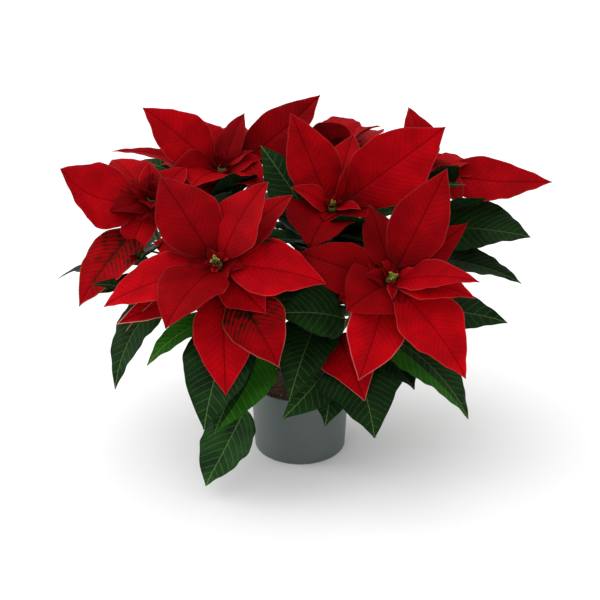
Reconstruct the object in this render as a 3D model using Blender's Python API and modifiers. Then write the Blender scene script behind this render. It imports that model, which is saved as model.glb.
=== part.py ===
"""A poinsettia in a plain grey nursery pot, in metres with +Z up.

The origin is the centre of the pot's base, and the plant is seen from -Y. A heading is in degrees
round +Z from +X, so that -90 points to the viewer, and a rise is in degrees above level.
Sizes in the tables of heads, bracts and leaves are millimetres.
"""

import itertools
import math
import random
from typing import NamedTuple

import bmesh
import bpy
from mathutils import Matrix, Vector
from mathutils.bvhtree import BVHTree

MM = 0.001
GAP = 0.3 * MM

POT_HEIGHT = 89 * MM
POT_RIM_RADIUS = 60 * MM
POT_BASE_RADIUS = 56 * MM
POT_WALL = 1.8 * MM
POT_FLOOR = 2.5 * MM
POT_SIDES = 32
DRAIN_HOLES = 6
DRAIN_RADIUS = 4 * MM
DRAIN_RING = 36 * MM

SOIL_EDGE_LEVEL = 80 * MM
SOIL_MOUND = 4 * MM
TRUNK_RADIUS = 6 * MM
TRUNK_FOOT = 40 * MM
TRUNK_TOP = 106 * MM
KNUCKLE_RADIUS = 10 * MM
FORK_LEVEL = TRUNK_TOP - 8 * MM
FORK_REACH = 5 * MM

STEM_RADIUS = 3 * MM
STEM_SIDES = 6
HUB_RADIUS = 5.5 * MM
HUB_LENGTH = 30 * MM
HUB_SWELL = 8 * MM
CUP_RADIUS = 2.4 * MM
CUP_COUNT = 4
CLUSTER_RADIUS = 6 * MM

BLADE_THICKNESS = 0.8 * MM
BLADE_CLEARANCE = 1.0 * MM
STALK_WIDTH = 2.6 * MM
TIP_WIDTH = 1.2 * MM
FLOOR_CLEARANCE = 4 * MM
CENTRE_SHARE = 0.28
BROAD = 55.0
SHARP_ANGLE = math.radians(40)

RED = (0.50, 0.006, 0.012, 1.0)
GREEN = (0.016, 0.045, 0.016, 1.0)
CUP_GREEN = (0.36, 0.42, 0.06, 1.0)
BARK = (0.10, 0.09, 0.05, 1.0)
SOIL_BROWN = (0.035, 0.022, 0.014, 1.0)
POT_GREY = (0.11, 0.125, 0.13, 1.0)


class Blade(NamedTuple):
    """A bract or leaf: where its tip lies, its size, and how it bends.

    The tip lies at a heading, a rise and a length from the head's top for a bract, or from its
    own root for a leaf. roll turns it about its chord, arch lifts its middle by that share of its
    length, fold raises its two halves by that angle, stalk is the share of the chord without a
    blade, and lobe is how far a corner stands out on each side. at is the root's place:
    millimetres below the head's top for a bract, or the share along the stem for a leaf. strips
    is the number of flat strips across a broad blade.
    """

    heading: float
    rise: float
    length: float
    width: float
    roll: float = 0.0
    arch: float = 0.08
    fold: float = 8.0
    stalk: float = 0.05
    lobe: float = 0.0
    at: float = 6.0
    strips: int = 4


class Head(NamedTuple):
    """One flower head on its stem: its top's place, its lean, its bracts and its leaves."""

    top: tuple
    lean_heading: float
    lean: float
    bracts: list
    leaves: list


def leaf(at, heading, rise, length, width, roll=0.0, arch=0.14, fold=8.0, stalk=0.26, lobe=0.0):
    """Returns a green leaf with its long stalk."""
    return Blade(heading, rise, length, width, roll, arch, fold, stalk, lobe, at)


def inner_leaf(at, heading, rise, length, width):
    """Returns a green leaf that stands inside or behind the plant, folded along its midrib."""
    return leaf(at, heading, rise, length, width, fold=10.0)._replace(strips=2)


def ring(headings, rise, length, width, at=9.0, stalk=0.1):
    """Returns large outer bracts of one size at the given headings, folded along the midrib."""
    return [Blade(h, rise, length, width, stalk=stalk, at=at, strips=2) for h in headings]


HEADS = {
    "front_left": Head(
        (-89, -100, 280), -115, 35,
        [
            Blade(-6, -9, 119, 70),
            Blade(-118, -20, 105, 78),
            Blade(-161, -15, 127, 66, stalk=0.1, at=12.0),
            Blade(141, 45, 113, 70, stalk=0.08),
            Blade(27, 53, 102, 66),
            Blade(81, 55, 70, 28, arch=0.0),
            Blade(149, 5, 85, 44),
            Blade(30, 33, 112, 52, stalk=0.12, at=11.0),
            Blade(15, 45, 25, 14, at=2.0),
            Blade(-95, -10, 16, 10, at=2.0),
            Blade(-28, -38, 76, 52, at=16.0),
            Blade(-80, -65, 142, 66, roll=-14, stalk=0.1, at=26.0),
            Blade(-41, -43, 130, 68, stalk=0.22, at=28.0),
            Blade(-158, -31, 120, 36, roll=55, stalk=0.1, at=28.0),
        ],
        [
            leaf(0.68, -110, -39, 146, 82, stalk=0.12),
            leaf(0.30, -124, -42, 172, 76, arch=-0.03, stalk=0.42),
            leaf(0.50, -111, -32, 136, 84, roll=-35, fold=22.0, stalk=0.15),
            leaf(0.65, -148, -14, 127, 46),
            inner_leaf(0.80, 160, 5, 120, 56),
            inner_leaf(0.88, 60, 0, 110, 52),
        ],
    ),
    "front_right": Head(
        (98, -105, 264), -70, 38,
        [
            Blade(-39, -42, 132, 74, stalk=0.06),
            Blade(-125, -57, 115, 64),
            Blade(26, 61, 129, 62, stalk=0.1),
            Blade(-140, -17, 68, 68),
            Blade(-31, -1, 95, 46),
            Blade(-37, 16, 105, 42, at=10.0),
            Blade(-28, 28, 60, 30),
            Blade(-93, -33, 28, 12, at=2.0),
            Blade(90, 35, 45, 24, at=3.0),
            Blade(178, -24, 62, 62, at=10.0),
            Blade(110, 39, 90, 45),
            Blade(15, 37, 100, 40, at=10.0),
            Blade(163, 8, 104, 56, roll=-20, stalk=0.1, at=12.0),
            Blade(60, 20, 95, 48, stalk=0.1, at=12.0),
        ],
        [
            leaf(0.45, -73, -33, 122, 80, roll=4, stalk=0.12, lobe=0.36),
            leaf(0.60, -41, -22, 164, 78, stalk=0.16),
            leaf(0.80, -16, 1, 148, 56, roll=25, arch=0.08),
            leaf(0.25, -94, -18, 105, 54),
            leaf(0.30, -117, -9, 130, 52),
            leaf(0.60, -150, 21, 116, 66, roll=-25),
            inner_leaf(0.85, 40, 0, 120, 52),
            inner_leaf(0.62, 45, -12, 130, 56),
            inner_leaf(0.70, 150, 0, 110, 56),
        ],
    ),
    "centre": Head(
        (37, -5, 312), -90, 18,
        [
            Blade(-113, -22, 75, 90, fold=20.0),
            Blade(152, 62, 114, 62, roll=-15, arch=0.0),
            Blade(1, 36, 153, 82, roll=58, arch=0.0, stalk=0.12),
            Blade(-164, 24, 55, 34),
            Blade(-21, -8, 60, 32),
            Blade(32, 54, 90, 40, roll=60),
            Blade(-40, 10, 40, 20, at=3.0),
            Blade(70, 40, 100, 48, at=9.0, stalk=0.1),
            Blade(110, 30, 105, 52, at=11.0, stalk=0.1),
        ],
        [
            leaf(0.45, -105, -17, 165, 66, roll=10, stalk=0.2),
            leaf(0.80, 4, 36, 175, 52, roll=20),
            leaf(0.80, 165, 60, 150, 56, roll=-60),
            leaf(0.75, -155, 26, 107, 72, arch=0.06),
            leaf(0.90, -63, 8, 86, 54, roll=35, stalk=0.15),
            leaf(0.92, -111, -4, 72, 54, stalk=0.12),
            inner_leaf(0.72, 178, 30, 100, 72),
            inner_leaf(0.55, 95, 0, 140, 60),
            inner_leaf(0.62, -168, 6, 92, 66),
            inner_leaf(0.56, -84, 16, 82, 60),
            inner_leaf(0.62, -40, -20, 120, 60),
            inner_leaf(0.82, -110, -8, 92, 60),
        ],
    ),
    "back_left": Head(
        (-93, 70, 335), -95, 12,
        [
            Blade(177, 38, 115, 64, roll=-38, arch=0.04, stalk=0.1),
            Blade(-151, -11, 76, 66, roll=-35, fold=15.0),
            Blade(9, 35, 144, 60, roll=44, arch=-0.14, stalk=0.16),
            Blade(60, 55, 75, 36),
            Blade(18, 43, 42, 20, at=3.0),
            Blade(-40, -10, 66, 64, at=10.0),
            Blade(-176, 10, 130, 30, stalk=0.2, at=18.0),
            *ring((81, 123), 15, 105, 56),
            *ring((150,), -6, 92, 48),
        ],
        [
            leaf(0.88, 150, 30, 140, 30, roll=-38),
            leaf(0.75, -34, 45, 111, 54, roll=30),
            inner_leaf(0.70, 150, -15, 150, 66),
            inner_leaf(0.62, 95, -10, 145, 62),
            inner_leaf(0.50, 185, -12, 150, 62),
            inner_leaf(0.75, -80, 5, 115, 60),
            inner_leaf(0.60, -140, 5, 120, 56),
            inner_leaf(0.80, -84, 48, 86, 58),
        ],
    ),
    "back_right": Head(
        (149, 70, 337), -40, 12,
        [
            Blade(-15, -3, 149, 56, roll=42, arch=-0.09, stalk=0.08),
            Blade(108, 47, 80, 44),
            Blade(-130, 7, 60, 36),
            Blade(150, 20, 60, 34),
            Blade(-56, -26, 74, 52, at=11.0),
            *ring((27, 61), -14, 112, 58),
            *ring((99,), 10, 105, 58),
        ],
        [
            leaf(0.80, -28, 4, 154, 90, roll=38, arch=0.02),
            leaf(0.60, -31, -1, 172, 62, roll=25, arch=0.09),
            leaf(0.60, -7, 7, 110, 40, roll=20),
            inner_leaf(0.70, 40, -12, 150, 64),
            inner_leaf(0.60, 80, -15, 150, 62),
            inner_leaf(0.75, -125, 8, 115, 60),
            inner_leaf(0.60, -85, 0, 125, 56),
        ],
    ),
    "far_left": Head(
        (-165, -20, 326), -80, 25,
        [
            Blade(-152, 26, 110, 84, roll=-16, arch=-0.24),
            Blade(-130, -57, 82, 40),
            Blade(-134, -50, 146, 58, stalk=0.2, at=26.0),
            Blade(-60, 10, 30, 18, at=3.0),
            Blade(100, 35, 50, 26, at=4.0),
            Blade(60, 15, 70, 36),
            *ring((128,), 20, 92, 54),
        ],
        [
            leaf(0.55, -129, -30, 155, 60, roll=-15, arch=0.22, stalk=0.2),
            leaf(0.60, -154, 12, 155, 74, roll=8, arch=0.12),
            leaf(0.45, -153, 25, 150, 54, roll=-20),
            inner_leaf(0.75, 150, -20, 140, 62),
            inner_leaf(0.60, 120, -10, 140, 62),
            inner_leaf(0.70, -70, -5, 115, 56),
            inner_leaf(0.75, 40, 5, 110, 56),
        ],
    ),
    "back": Head(
        (47, 125, 341), 80, 15,
        [
            Blade(-17, 34, 62, 60, roll=45),
            Blade(-124, 46, 62, 52),
            Blade(190, 25, 85, 46),
            *ring((21, 56, 122, 152), 0, 112, 58),
            *ring((86,), 11, 99, 58),
        ],
        [
            inner_leaf(0.75, 60, -18, 150, 66),
            inner_leaf(0.65, 110, -15, 150, 64),
            inner_leaf(0.55, 85, -30, 150, 62),
            inner_leaf(0.80, 150, -10, 140, 60),
            inner_leaf(0.80, -140, 12, 115, 60),
            inner_leaf(0.80, -45, 10, 115, 60),
        ],
    ),
}

LOW_BRACT = Blade(-71, -18, 136, 64, roll=35, arch=0.22, stalk=0.4, lobe=0.15, at=0.4)


def clear_scene():
    """Removes the objects that Blender opens with."""
    for obj in list(bpy.data.objects):
        bpy.data.objects.remove(obj, do_unlink=True)


def material(name, colour, roughness):
    """Returns a plain Principled material."""
    mat = bpy.data.materials.new(name)
    mat.use_nodes = True
    mat.diffuse_color = colour
    shader = mat.node_tree.nodes["Principled BSDF"]
    shader.inputs["Base Color"].default_value = colour
    shader.inputs["Roughness"].default_value = roughness
    shader.inputs["Metallic"].default_value = 0.0
    return mat


def add_object(name, mesh, collection, mat=None):
    """Links a mesh to a collection as a named object."""
    obj = bpy.data.objects.new(name, mesh)
    if mat is not None:
        mesh.materials.clear()
        mesh.materials.append(mat)
    collection.objects.link(obj)
    return obj


def evaluated_mesh(obj):
    """Returns a new mesh with the object's modifiers applied."""
    bpy.context.view_layer.update()
    seen = obj.evaluated_get(bpy.context.evaluated_depsgraph_get())
    return bpy.data.meshes.new_from_object(seen)


def direction(heading, rise):
    """Returns the unit vector at a heading and a rise in degrees."""
    h = math.radians(heading)
    r = math.radians(rise)
    return Vector((math.cos(h) * math.cos(r), math.sin(h) * math.cos(r), math.sin(r)))


def head_axis(head):
    """Returns the direction in which a head's stem ends."""
    return direction(head.lean_heading, 90 - head.lean)


def head_top(head):
    """Returns the place of a head's top in metres."""
    return Vector(head.top) * MM


def fork_point(head, reach):
    """Returns the place that far out from the knuckle's side, towards a head."""
    heading = math.degrees(math.atan2(head.top[1], head.top[0]))
    out = KNUCKLE_RADIUS + GAP + reach
    return direction(heading, 0) * out + Vector((0, 0, FORK_LEVEL))


def stem_point(head, share):
    """Returns a point on the stem's centre line, from beside the trunk (0) to the head (1)."""
    start = fork_point(head, FORK_REACH)
    axis = head_axis(head)
    end = head_top(head) - axis * (HUB_LENGTH + GAP)
    reach = (end - start).length
    level = Vector((end.x, end.y, 0))
    bend = start + level * 0.35 + Vector((0, 0, 0.22 * reach))
    rest = end - axis * 0.3 * reach
    a = 1 - share
    return a**3 * start + 3 * a * a * share * bend + 3 * a * share**2 * rest + share**3 * end


def bract_root(head, blade):
    """Returns the place in the hub where a bract grows, deeper in below the hub's swelling."""
    axis = head_axis(head)
    along = direction(blade.heading, blade.rise)
    outward = (along - axis * along.dot(axis)).normalized()
    out = 0.6 if blade.at * MM < HUB_SWELL else 0.25
    return head_top(head) - axis * blade.at * MM + outward * out * HUB_RADIUS


def outline(u):
    """Returns the blade's half width at u, from its foot (0) to its tip (1), 1 at the widest."""
    foot = 0.8
    point = 1.15
    widest = foot / (foot + point)
    most = widest**foot * (1 - widest) ** point
    return u**foot * max(0.0, 1 - u) ** point / most


def corner(u):
    """Returns the shape of one side corner, 1 at its point."""
    return max(0.0, 1 - abs(u - 0.42) / 0.2)


class Growth(NamedTuple):
    """Where a blade grows: its node, its root, the point its tip is measured from, its facing."""

    node: str
    root: Vector
    origin: Vector
    facing: Vector


def blade_frame(blade, growth):
    """Returns the chord with its length, and the sideways and upper directions of a blade."""
    reach = direction(blade.heading, blade.rise) * blade.length * MM
    chord = growth.origin + reach - growth.root
    along = chord.normalized()
    facing = growth.facing
    upper = (facing - along * facing.dot(along)).normalized()
    upper = Matrix.Rotation(math.radians(blade.roll), 3, along) @ upper
    return chord, along.cross(upper), upper


def blade_point(blade, root, frame, share, across):
    """Returns a point of the blade's middle surface.

    share runs from root (0) to tip (1) and across from one edge (-1) to the other (1).
    """
    chord, sideways, upper = frame
    half = STALK_WIDTH / 2
    if share > blade.stalk:
        u = (share - blade.stalk) / (1 - blade.stalk)
        full = blade.width * MM / 2 * outline(u) * (1 + blade.lobe * corner(u))
        half = max(full, STALK_WIDTH / 2 * (1 - u) + TIP_WIDTH / 2 * u)
    wave = 0.10 * math.sin(math.tau * (1.3 * share + 0.25 * across + blade.heading / 360))
    fold = math.radians(blade.fold)
    lift = half * (abs(across) * math.sin(fold) + wave * across * across)
    arch = blade.arch * chord.length * 4 * share * (1 - share)
    aside = half * across * math.cos(fold)
    return root + chord * share + sideways * aside + upper * (arch + lift)


def blade_rows(blade):
    """Returns the shares along a blade at which it has a row of points."""
    if blade.length > 125:
        steps = 5
    elif blade.length > 45:
        steps = 4
    else:
        steps = 3
    return [0.0] + [blade.stalk + (1 - blade.stalk) * i / steps for i in range(steps + 1)]


def blade_columns(blade):
    """Returns the number of strips across a blade."""
    return blade.strips if blade.width > BROAD else 2


def blade_mesh(blade, growth):
    """Returns a closed thin mesh of a blade, cut into triangles alike on both faces."""
    rows = blade_rows(blade)
    columns = blade_columns(blade)
    frame = blade_frame(blade, growth)
    bm = bmesh.new()
    bmesh.ops.create_grid(bm, x_segments=columns, y_segments=len(rows) - 1, size=1.0)
    for vert in bm.verts:
        share = rows[round((vert.co.y + 1) / 2 * (len(rows) - 1))]
        vert.co = blade_point(blade, growth.root, frame, share, vert.co.x)
    bmesh.ops.triangulate(bm, faces=bm.faces)
    sheet = bpy.data.meshes.new("sheet")
    bm.to_mesh(sheet)
    bm.free()
    obj = bpy.data.objects.new("sheet", sheet)
    bpy.context.scene.collection.objects.link(obj)
    shell = obj.modifiers.new("thickness", "SOLIDIFY")
    shell.thickness = BLADE_THICKNESS
    shell.offset = 0.0
    mesh = evaluated_mesh(obj)
    bpy.data.objects.remove(obj)
    return mesh


def blade_shells(blade, growth):
    """Returns a blade's lowest height and its trees for crossing tests, whole and past its foot.

    The trees hold both faces, moved apart by the clearance.
    """
    rows = blade_rows(blade)
    wide = blade_columns(blade) + 1
    frame = blade_frame(blade, growth)
    sheet = [
        blade_point(blade, growth.root, frame, share, 2 * j / (wide - 1) - 1)
        for share in rows for j in range(wide)
    ]
    offset = frame[2] * (BLADE_THICKNESS / 2 + BLADE_CLEARANCE / 2)
    points = [p + offset for p in sheet] + [p - offset for p in sheet]
    whole = []
    outer = []
    for i, j, side in itertools.product(range(len(rows) - 1), range(wide - 1), (0, len(sheet))):
        a = side + i * wide + j
        face = (a, a + 1, a + wide + 1, a + wide)
        whole.append(face)
        if rows[i] >= CENTRE_SHARE:
            outer.append(face)
    lowest = min(p.z for p in points)
    return lowest, BVHTree.FromPolygons(points, whole), BVHTree.FromPolygons(points, outer)


def steps_of_bending():
    """Returns the small turns a blade may take to come clear, the least first."""
    rises = (0, 4, -4, 8, -8, 13, -13, 19, -19)
    headings = (0, 5, -5, 10, -10, 16, -16)
    rolls = (0, 14, -14, 28, -28)
    turns = itertools.product(rises, headings, rolls)
    return sorted(turns, key=lambda t: abs(t[0]) + abs(t[1]) + 0.3 * abs(t[2]))


class Placed(NamedTuple):
    """A blade in its final place, with its trees for crossing tests."""

    blade: Blade
    growth: Growth
    whole: BVHTree
    outer: BVHTree


def crosses(node, lowest, whole, outer, placed, solids):
    """Says whether a blade meets the floor, a solid of another node, or a placed blade."""
    if lowest < FLOOR_CLEARANCE:
        return True
    if any(owner != node and whole.overlap(tree) for owner, tree in solids):
        return True
    for other in placed:
        if other.growth.node == node:
            if outer.overlap(other.outer):
                return True
        elif whole.overlap(other.whole):
            return True
    return False


def place(blade, growth, placed, solids):
    """Adds a blade to placed, bent by the least turn that clears everything already there."""
    for shorter in (1.0, 0.85, 0.7):
        for rise, heading, roll in TURNS:
            trial = blade._replace(
                rise=blade.rise + rise,
                heading=blade.heading + heading,
                roll=blade.roll + roll,
                length=blade.length * shorter,
                width=blade.width * shorter,
            )
            lowest, whole, outer = blade_shells(trial, growth)
            if not crosses(growth.node, lowest, whole, outer, placed, solids):
                placed.append(Placed(trial, growth, whole, outer))
                return


TURNS = steps_of_bending()


def tube_tree(points, radius):
    """Returns a tree of a tube round a line of points, for crossing tests."""
    rings = []
    faces = []
    for i, point in enumerate(points):
        ahead = points[min(i + 1, len(points) - 1)] - points[max(i - 1, 0)]
        turn = ahead.to_track_quat("Z", "Y")
        for k in range(STEM_SIDES):
            angle = math.tau * k / STEM_SIDES
            rim = Vector((math.cos(angle), math.sin(angle), 0)) * radius
            rings.append(point + turn @ rim)
    for i in range(len(points) - 1):
        for k in range(STEM_SIDES):
            a = i * STEM_SIDES + k
            b = i * STEM_SIDES + (k + 1) % STEM_SIDES
            faces.append((a, b, b + STEM_SIDES, a + STEM_SIDES))
    return BVHTree.FromPolygons(rings, faces)


def solids_to_clear():
    """Returns the pot, the stems, the hubs and the flower clusters with their owner nodes."""
    margin = 2 * MM
    line = [Vector((0, 0, z)) for z in (0.0, POT_HEIGHT / 2, POT_HEIGHT + margin)]
    solids = [("pot", tube_tree(line, POT_RIM_RADIUS + 3 * margin))]
    line = [Vector((0, 0, z)) for z in (POT_HEIGHT, TRUNK_TOP)]
    solids.append(("trunk", tube_tree(line, KNUCKLE_RADIUS + GAP)))
    for key, head in HEADS.items():
        top = head_top(head)
        axis = head_axis(head)
        line = [fork_point(head, 0)] + [stem_point(head, i / 8) for i in range(9)]
        solids.append((f"stem_{key}", tube_tree(line, STEM_RADIUS + GAP)))
        line = [top - axis * HUB_LENGTH, top - axis * 2 * GAP]
        solids.append((f"bracts_{key}", tube_tree(line, HUB_RADIUS + GAP)))
        line = [top + axis * h * MM for h in (0.5, 8)]
        solids.append((f"cyathia_{key}", tube_tree(line, CLUSTER_RADIUS)))
    return solids


def leaf_growth(node, head, blade, clear):
    """Returns where a leaf grows on a head's stem, clear of the stem's middle line."""
    spot = stem_point(head, blade.at)
    outward = Vector((spot.x, spot.y, 0)).normalized()
    facing = (Vector((0, 0, 1)) + outward * 0.35).normalized()
    root = spot + direction(blade.heading, 0) * clear
    return Growth(node, root, root, facing)


def place_blades():
    """Returns every bract and leaf in its final place, heads in order, bracts before leaves."""
    placed = []
    solids = solids_to_clear()
    for key, head in HEADS.items():
        for blade in head.bracts:
            node = f"bracts_{key}"
            growth = Growth(node, bract_root(head, blade), head_top(head), head_axis(head))
            place(blade, growth, placed, solids)
    growth = leaf_growth("low_bract", HEADS["centre"], LOW_BRACT, STEM_RADIUS + 3 * GAP)
    place(LOW_BRACT, growth, placed, solids)
    for key, head in HEADS.items():
        for blade in head.leaves:
            place(blade, leaf_growth(f"stem_{key}", head, blade, 0.0), placed, solids)
    return placed


def curve_mesh(name, points, radii, sides):
    """Returns a closed tube mesh through the points, with a radius at each."""
    curve = bpy.data.curves.new(name, "CURVE")
    curve.dimensions = "3D"
    curve.bevel_depth = 1.0
    curve.bevel_resolution = sides // 2 - 2
    curve.use_fill_caps = True
    spline = curve.splines.new("POLY")
    spline.points.add(len(points) - 1)
    for spot, point, radius in zip(spline.points, points, radii):
        spot.co = (*point, 1.0)
        spot.radius = radius
    obj = bpy.data.objects.new(name, curve)
    bpy.context.scene.collection.objects.link(obj)
    mesh = evaluated_mesh(obj)
    bpy.data.objects.remove(obj)
    bm = bmesh.new()
    bm.from_mesh(mesh)
    bmesh.ops.remove_doubles(bm, verts=bm.verts, dist=0.01 * MM)
    bmesh.ops.recalc_face_normals(bm, faces=bm.faces)
    bm.to_mesh(mesh)
    bm.free()
    return mesh


def union(core, meshes):
    """Joins meshes into a core object by one Boolean and removes them."""
    group = bpy.data.collections.new("repeats")
    bpy.context.scene.collection.children.link(group)
    for i, mesh in enumerate(meshes):
        add_object(f"repeat_{i}", mesh, group)
    join = core.modifiers.new("join", "BOOLEAN")
    join.operation = "UNION"
    join.operand_type = "COLLECTION"
    join.collection = group
    join.solver = "EXACT"
    mesh = evaluated_mesh(core)
    mesh.shade_smooth()
    mesh.set_sharp_from_angle(angle=SHARP_ANGLE)
    core.modifiers.clear()
    mats = list(core.data.materials)
    core.data = mesh
    mesh.materials.clear()
    for mat in mats:
        mesh.materials.append(mat)
    for obj in list(group.objects):
        bpy.data.objects.remove(obj)
    bpy.data.collections.remove(group)


def turned(name, profile, sides, collection, mat):
    """Returns a solid turned round Z from a profile at +X that runs down its outer side."""
    bm = bmesh.new()
    verts = [bm.verts.new((x, 0, z)) for x, z in profile]
    for a, b in zip(verts, verts[1:]):
        bm.edges.new((a, b))
    mesh = bpy.data.meshes.new(name)
    bm.to_mesh(mesh)
    bm.free()
    obj = add_object(name, mesh, collection, mat)
    screw = obj.modifiers.new("turn", "SCREW")
    screw.steps = sides
    screw.render_steps = sides
    screw.use_merge_vertices = True
    screw.merge_threshold = 0.01 * MM
    return obj


def pot_radius(z):
    """Returns the pot's outer radius at a height."""
    return POT_BASE_RADIUS + (POT_RIM_RADIUS - POT_BASE_RADIUS) * z / POT_HEIGHT


def make_pot(collection, cutters, mat):
    """Makes the tapered pot with a rounded rim, a flat floor and its drain holes."""
    inner = pot_radius(POT_FLOOR) - POT_WALL
    profile = [
        (0, POT_FLOOR),
        (inner, POT_FLOOR),
        (POT_RIM_RADIUS - POT_WALL, POT_HEIGHT),
        (POT_RIM_RADIUS, POT_HEIGHT),
        (pot_radius(1.5 * MM), 1.5 * MM),
        (POT_BASE_RADIUS - 1.5 * MM, 0),
        (0, 0),
    ]
    pot = turned("pot", profile, POT_SIDES, collection, mat)
    for k in range(DRAIN_HOLES):
        spot = direction(360 * k / DRAIN_HOLES, 0) * DRAIN_RING
        bm = bmesh.new()
        bmesh.ops.create_cone(
            bm, cap_ends=True, segments=8, radius1=DRAIN_RADIUS, radius2=DRAIN_RADIUS,
            depth=4 * POT_FLOOR, matrix=Matrix.Translation(spot),
        )
        mesh = bpy.data.meshes.new("drain")
        bm.to_mesh(mesh)
        bm.free()
        cutter = add_object(f"drain_{k}", mesh, cutters)
        cutter.hide_render = True
        cutter.display_type = "WIRE"
    cut = pot.modifiers.new("drains", "BOOLEAN")
    cut.operation = "DIFFERENCE"
    cut.operand_type = "COLLECTION"
    cut.collection = cutters
    return pot


def make_soil(collection, mat):
    """Makes the soil, mounded to the trunk, with the plain hole that the trunk stands in."""
    base = POT_FLOOR + GAP
    wall = POT_WALL + GAP
    hole = TRUNK_RADIUS + GAP
    top = SOIL_EDGE_LEVEL
    profile = [
        (0, TRUNK_FOOT - GAP),
        (hole, TRUNK_FOOT - GAP),
        (hole, top + SOIL_MOUND),
        (20 * MM, top + 0.8 * SOIL_MOUND),
        (pot_radius(top) - wall, top),
        (pot_radius(base) - wall, base),
        (0, base),
    ]
    return turned("soil", profile, POT_SIDES, collection, mat)


def make_trunk(collection, mat):
    """Makes the short woody trunk with the knuckle that the stems fork from."""
    profile = [
        (0, TRUNK_TOP - GAP),
        (0.55 * KNUCKLE_RADIUS, TRUNK_TOP - GAP - 0.5 * MM),
        (0.9 * KNUCKLE_RADIUS, TRUNK_TOP - 4 * MM),
        (KNUCKLE_RADIUS, TRUNK_TOP - 8 * MM),
        (0.8 * KNUCKLE_RADIUS, TRUNK_TOP - 13 * MM),
        (TRUNK_RADIUS, TRUNK_TOP - 18 * MM),
        (TRUNK_RADIUS, TRUNK_FOOT),
        (0, TRUNK_FOOT),
    ]
    return turned("trunk", profile, 12, collection, mat)


def grown_meshes(node, placed):
    """Returns the meshes of the blades that belong to a node."""
    return [blade_mesh(p.blade, p.growth) for p in placed if p.growth.node == node]


def make_stem(key, head, placed, collection, mat):
    """Makes one forked stem with its leaves in one body."""
    shares = (0.0, 0.2, 0.4, 0.6, 0.8, 0.92, 1.0)
    points = [fork_point(head, 0)] + [stem_point(head, s) for s in shares]
    radii = [STEM_RADIUS] * len(points)
    mesh = curve_mesh(f"stem_{key}", points, radii, STEM_SIDES)
    stem = add_object(f"stem_{key}", mesh, collection, mat)
    union(stem, grown_meshes(stem.name, placed))
    return stem


def make_bracts(key, head, placed, collection, mat):
    """Makes a head's hub with its bracts in one body."""
    top = head_top(head)
    axis = head_axis(head)
    heights = (HUB_LENGTH, 0.55 * HUB_LENGTH, HUB_SWELL, 1 * MM + GAP, GAP)
    radii = (STEM_RADIUS, STEM_RADIUS, 0.9 * HUB_RADIUS, HUB_RADIUS, 0.8 * HUB_RADIUS)
    points = [top - axis * h for h in heights]
    mesh = curve_mesh(f"bracts_{key}", points, radii, STEM_SIDES)
    hub = add_object(f"bracts_{key}", mesh, collection, mat)
    union(hub, grown_meshes(hub.name, placed))
    return hub


def make_cyathia(key, head, collection, mat):
    """Makes the cluster of small green cups on top of a head."""
    top = head_top(head)
    axis = head_axis(head)
    turn = axis.to_track_quat("Z", "Y")
    points = [top, top + axis * 3 * MM]
    radii = (0.6 * HUB_RADIUS, 0.7 * HUB_RADIUS)
    mesh = curve_mesh(f"cyathia_{key}", points, radii, 4)
    base = add_object(f"cyathia_{key}", mesh, collection, mat)
    draw = random.Random(key)
    cups = []
    for k in range(CUP_COUNT):
        ring_radius = 0.0 if k == 0 else CLUSTER_RADIUS - CUP_RADIUS
        angle = math.tau * k / (CUP_COUNT - 1) + draw.uniform(-0.2, 0.2)
        height = (5.4 if k == 0 else 4.0 + draw.uniform(0, 1.2)) * MM
        spot = Vector((math.cos(angle) * ring_radius, math.sin(angle) * ring_radius, height))
        size = Matrix.Diagonal((CUP_RADIUS, CUP_RADIUS, 1.35 * CUP_RADIUS, 1))
        bm = bmesh.new()
        bmesh.ops.create_uvsphere(bm, u_segments=5, v_segments=3, radius=1.0, matrix=size)
        spin = turn.to_matrix().to_4x4()
        bmesh.ops.transform(bm, matrix=Matrix.Translation(top + turn @ spot) @ spin, verts=bm.verts)
        cup = bpy.data.meshes.new("cup")
        bm.to_mesh(cup)
        bm.free()
        cups.append(cup)
    union(base, cups)
    return base


def main():
    """Builds the whole plant."""
    clear_scene()
    parts = bpy.data.collections.new("poinsettia")
    cutters = bpy.data.collections.new("cutters")
    for collection in (parts, cutters):
        bpy.context.scene.collection.children.link(collection)
    red = material("bract_red", RED, 0.5)
    green = material("leaf_green", GREEN, 0.45)
    cup_green = material("cyathia_green", CUP_GREEN, 0.4)
    make_pot(parts, cutters, material("pot_plastic", POT_GREY, 0.5))
    make_soil(parts, material("soil", SOIL_BROWN, 0.95))
    make_trunk(parts, material("bark", BARK, 0.8))
    placed = place_blades()
    add_object("low_bract", grown_meshes("low_bract", placed)[0], parts, red)
    for key, head in HEADS.items():
        make_stem(key, head, placed, parts, green)
        make_bracts(key, head, placed, parts, red)
        make_cyathia(key, head, parts, cup_green)


main()
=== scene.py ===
"""Looks of a potted poinsettia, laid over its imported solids, in metres with +Z up.

Each bract and leaf takes the place and bend of its solid, from the same table and the same
settling rule, and gains what the solid leaves out: a smooth outline, a sunk midrib, puckers
between its side veins, a rib below and a round petiole. A heading is in degrees round +Z from
+X, so that -90 points to the viewer, and a rise is in degrees above level. Sizes in the tables
of heads, bracts and leaves are millimetres.
"""

import itertools
import logging
import math
import random
from dataclasses import dataclass, field, replace
from enum import Enum
from typing import Any, Callable, Iterable, NamedTuple, Sequence

import bmesh
import bpy
import numpy as np
from mathutils import Matrix, Vector, noise
from mathutils.bvhtree import BVHTree


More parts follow.
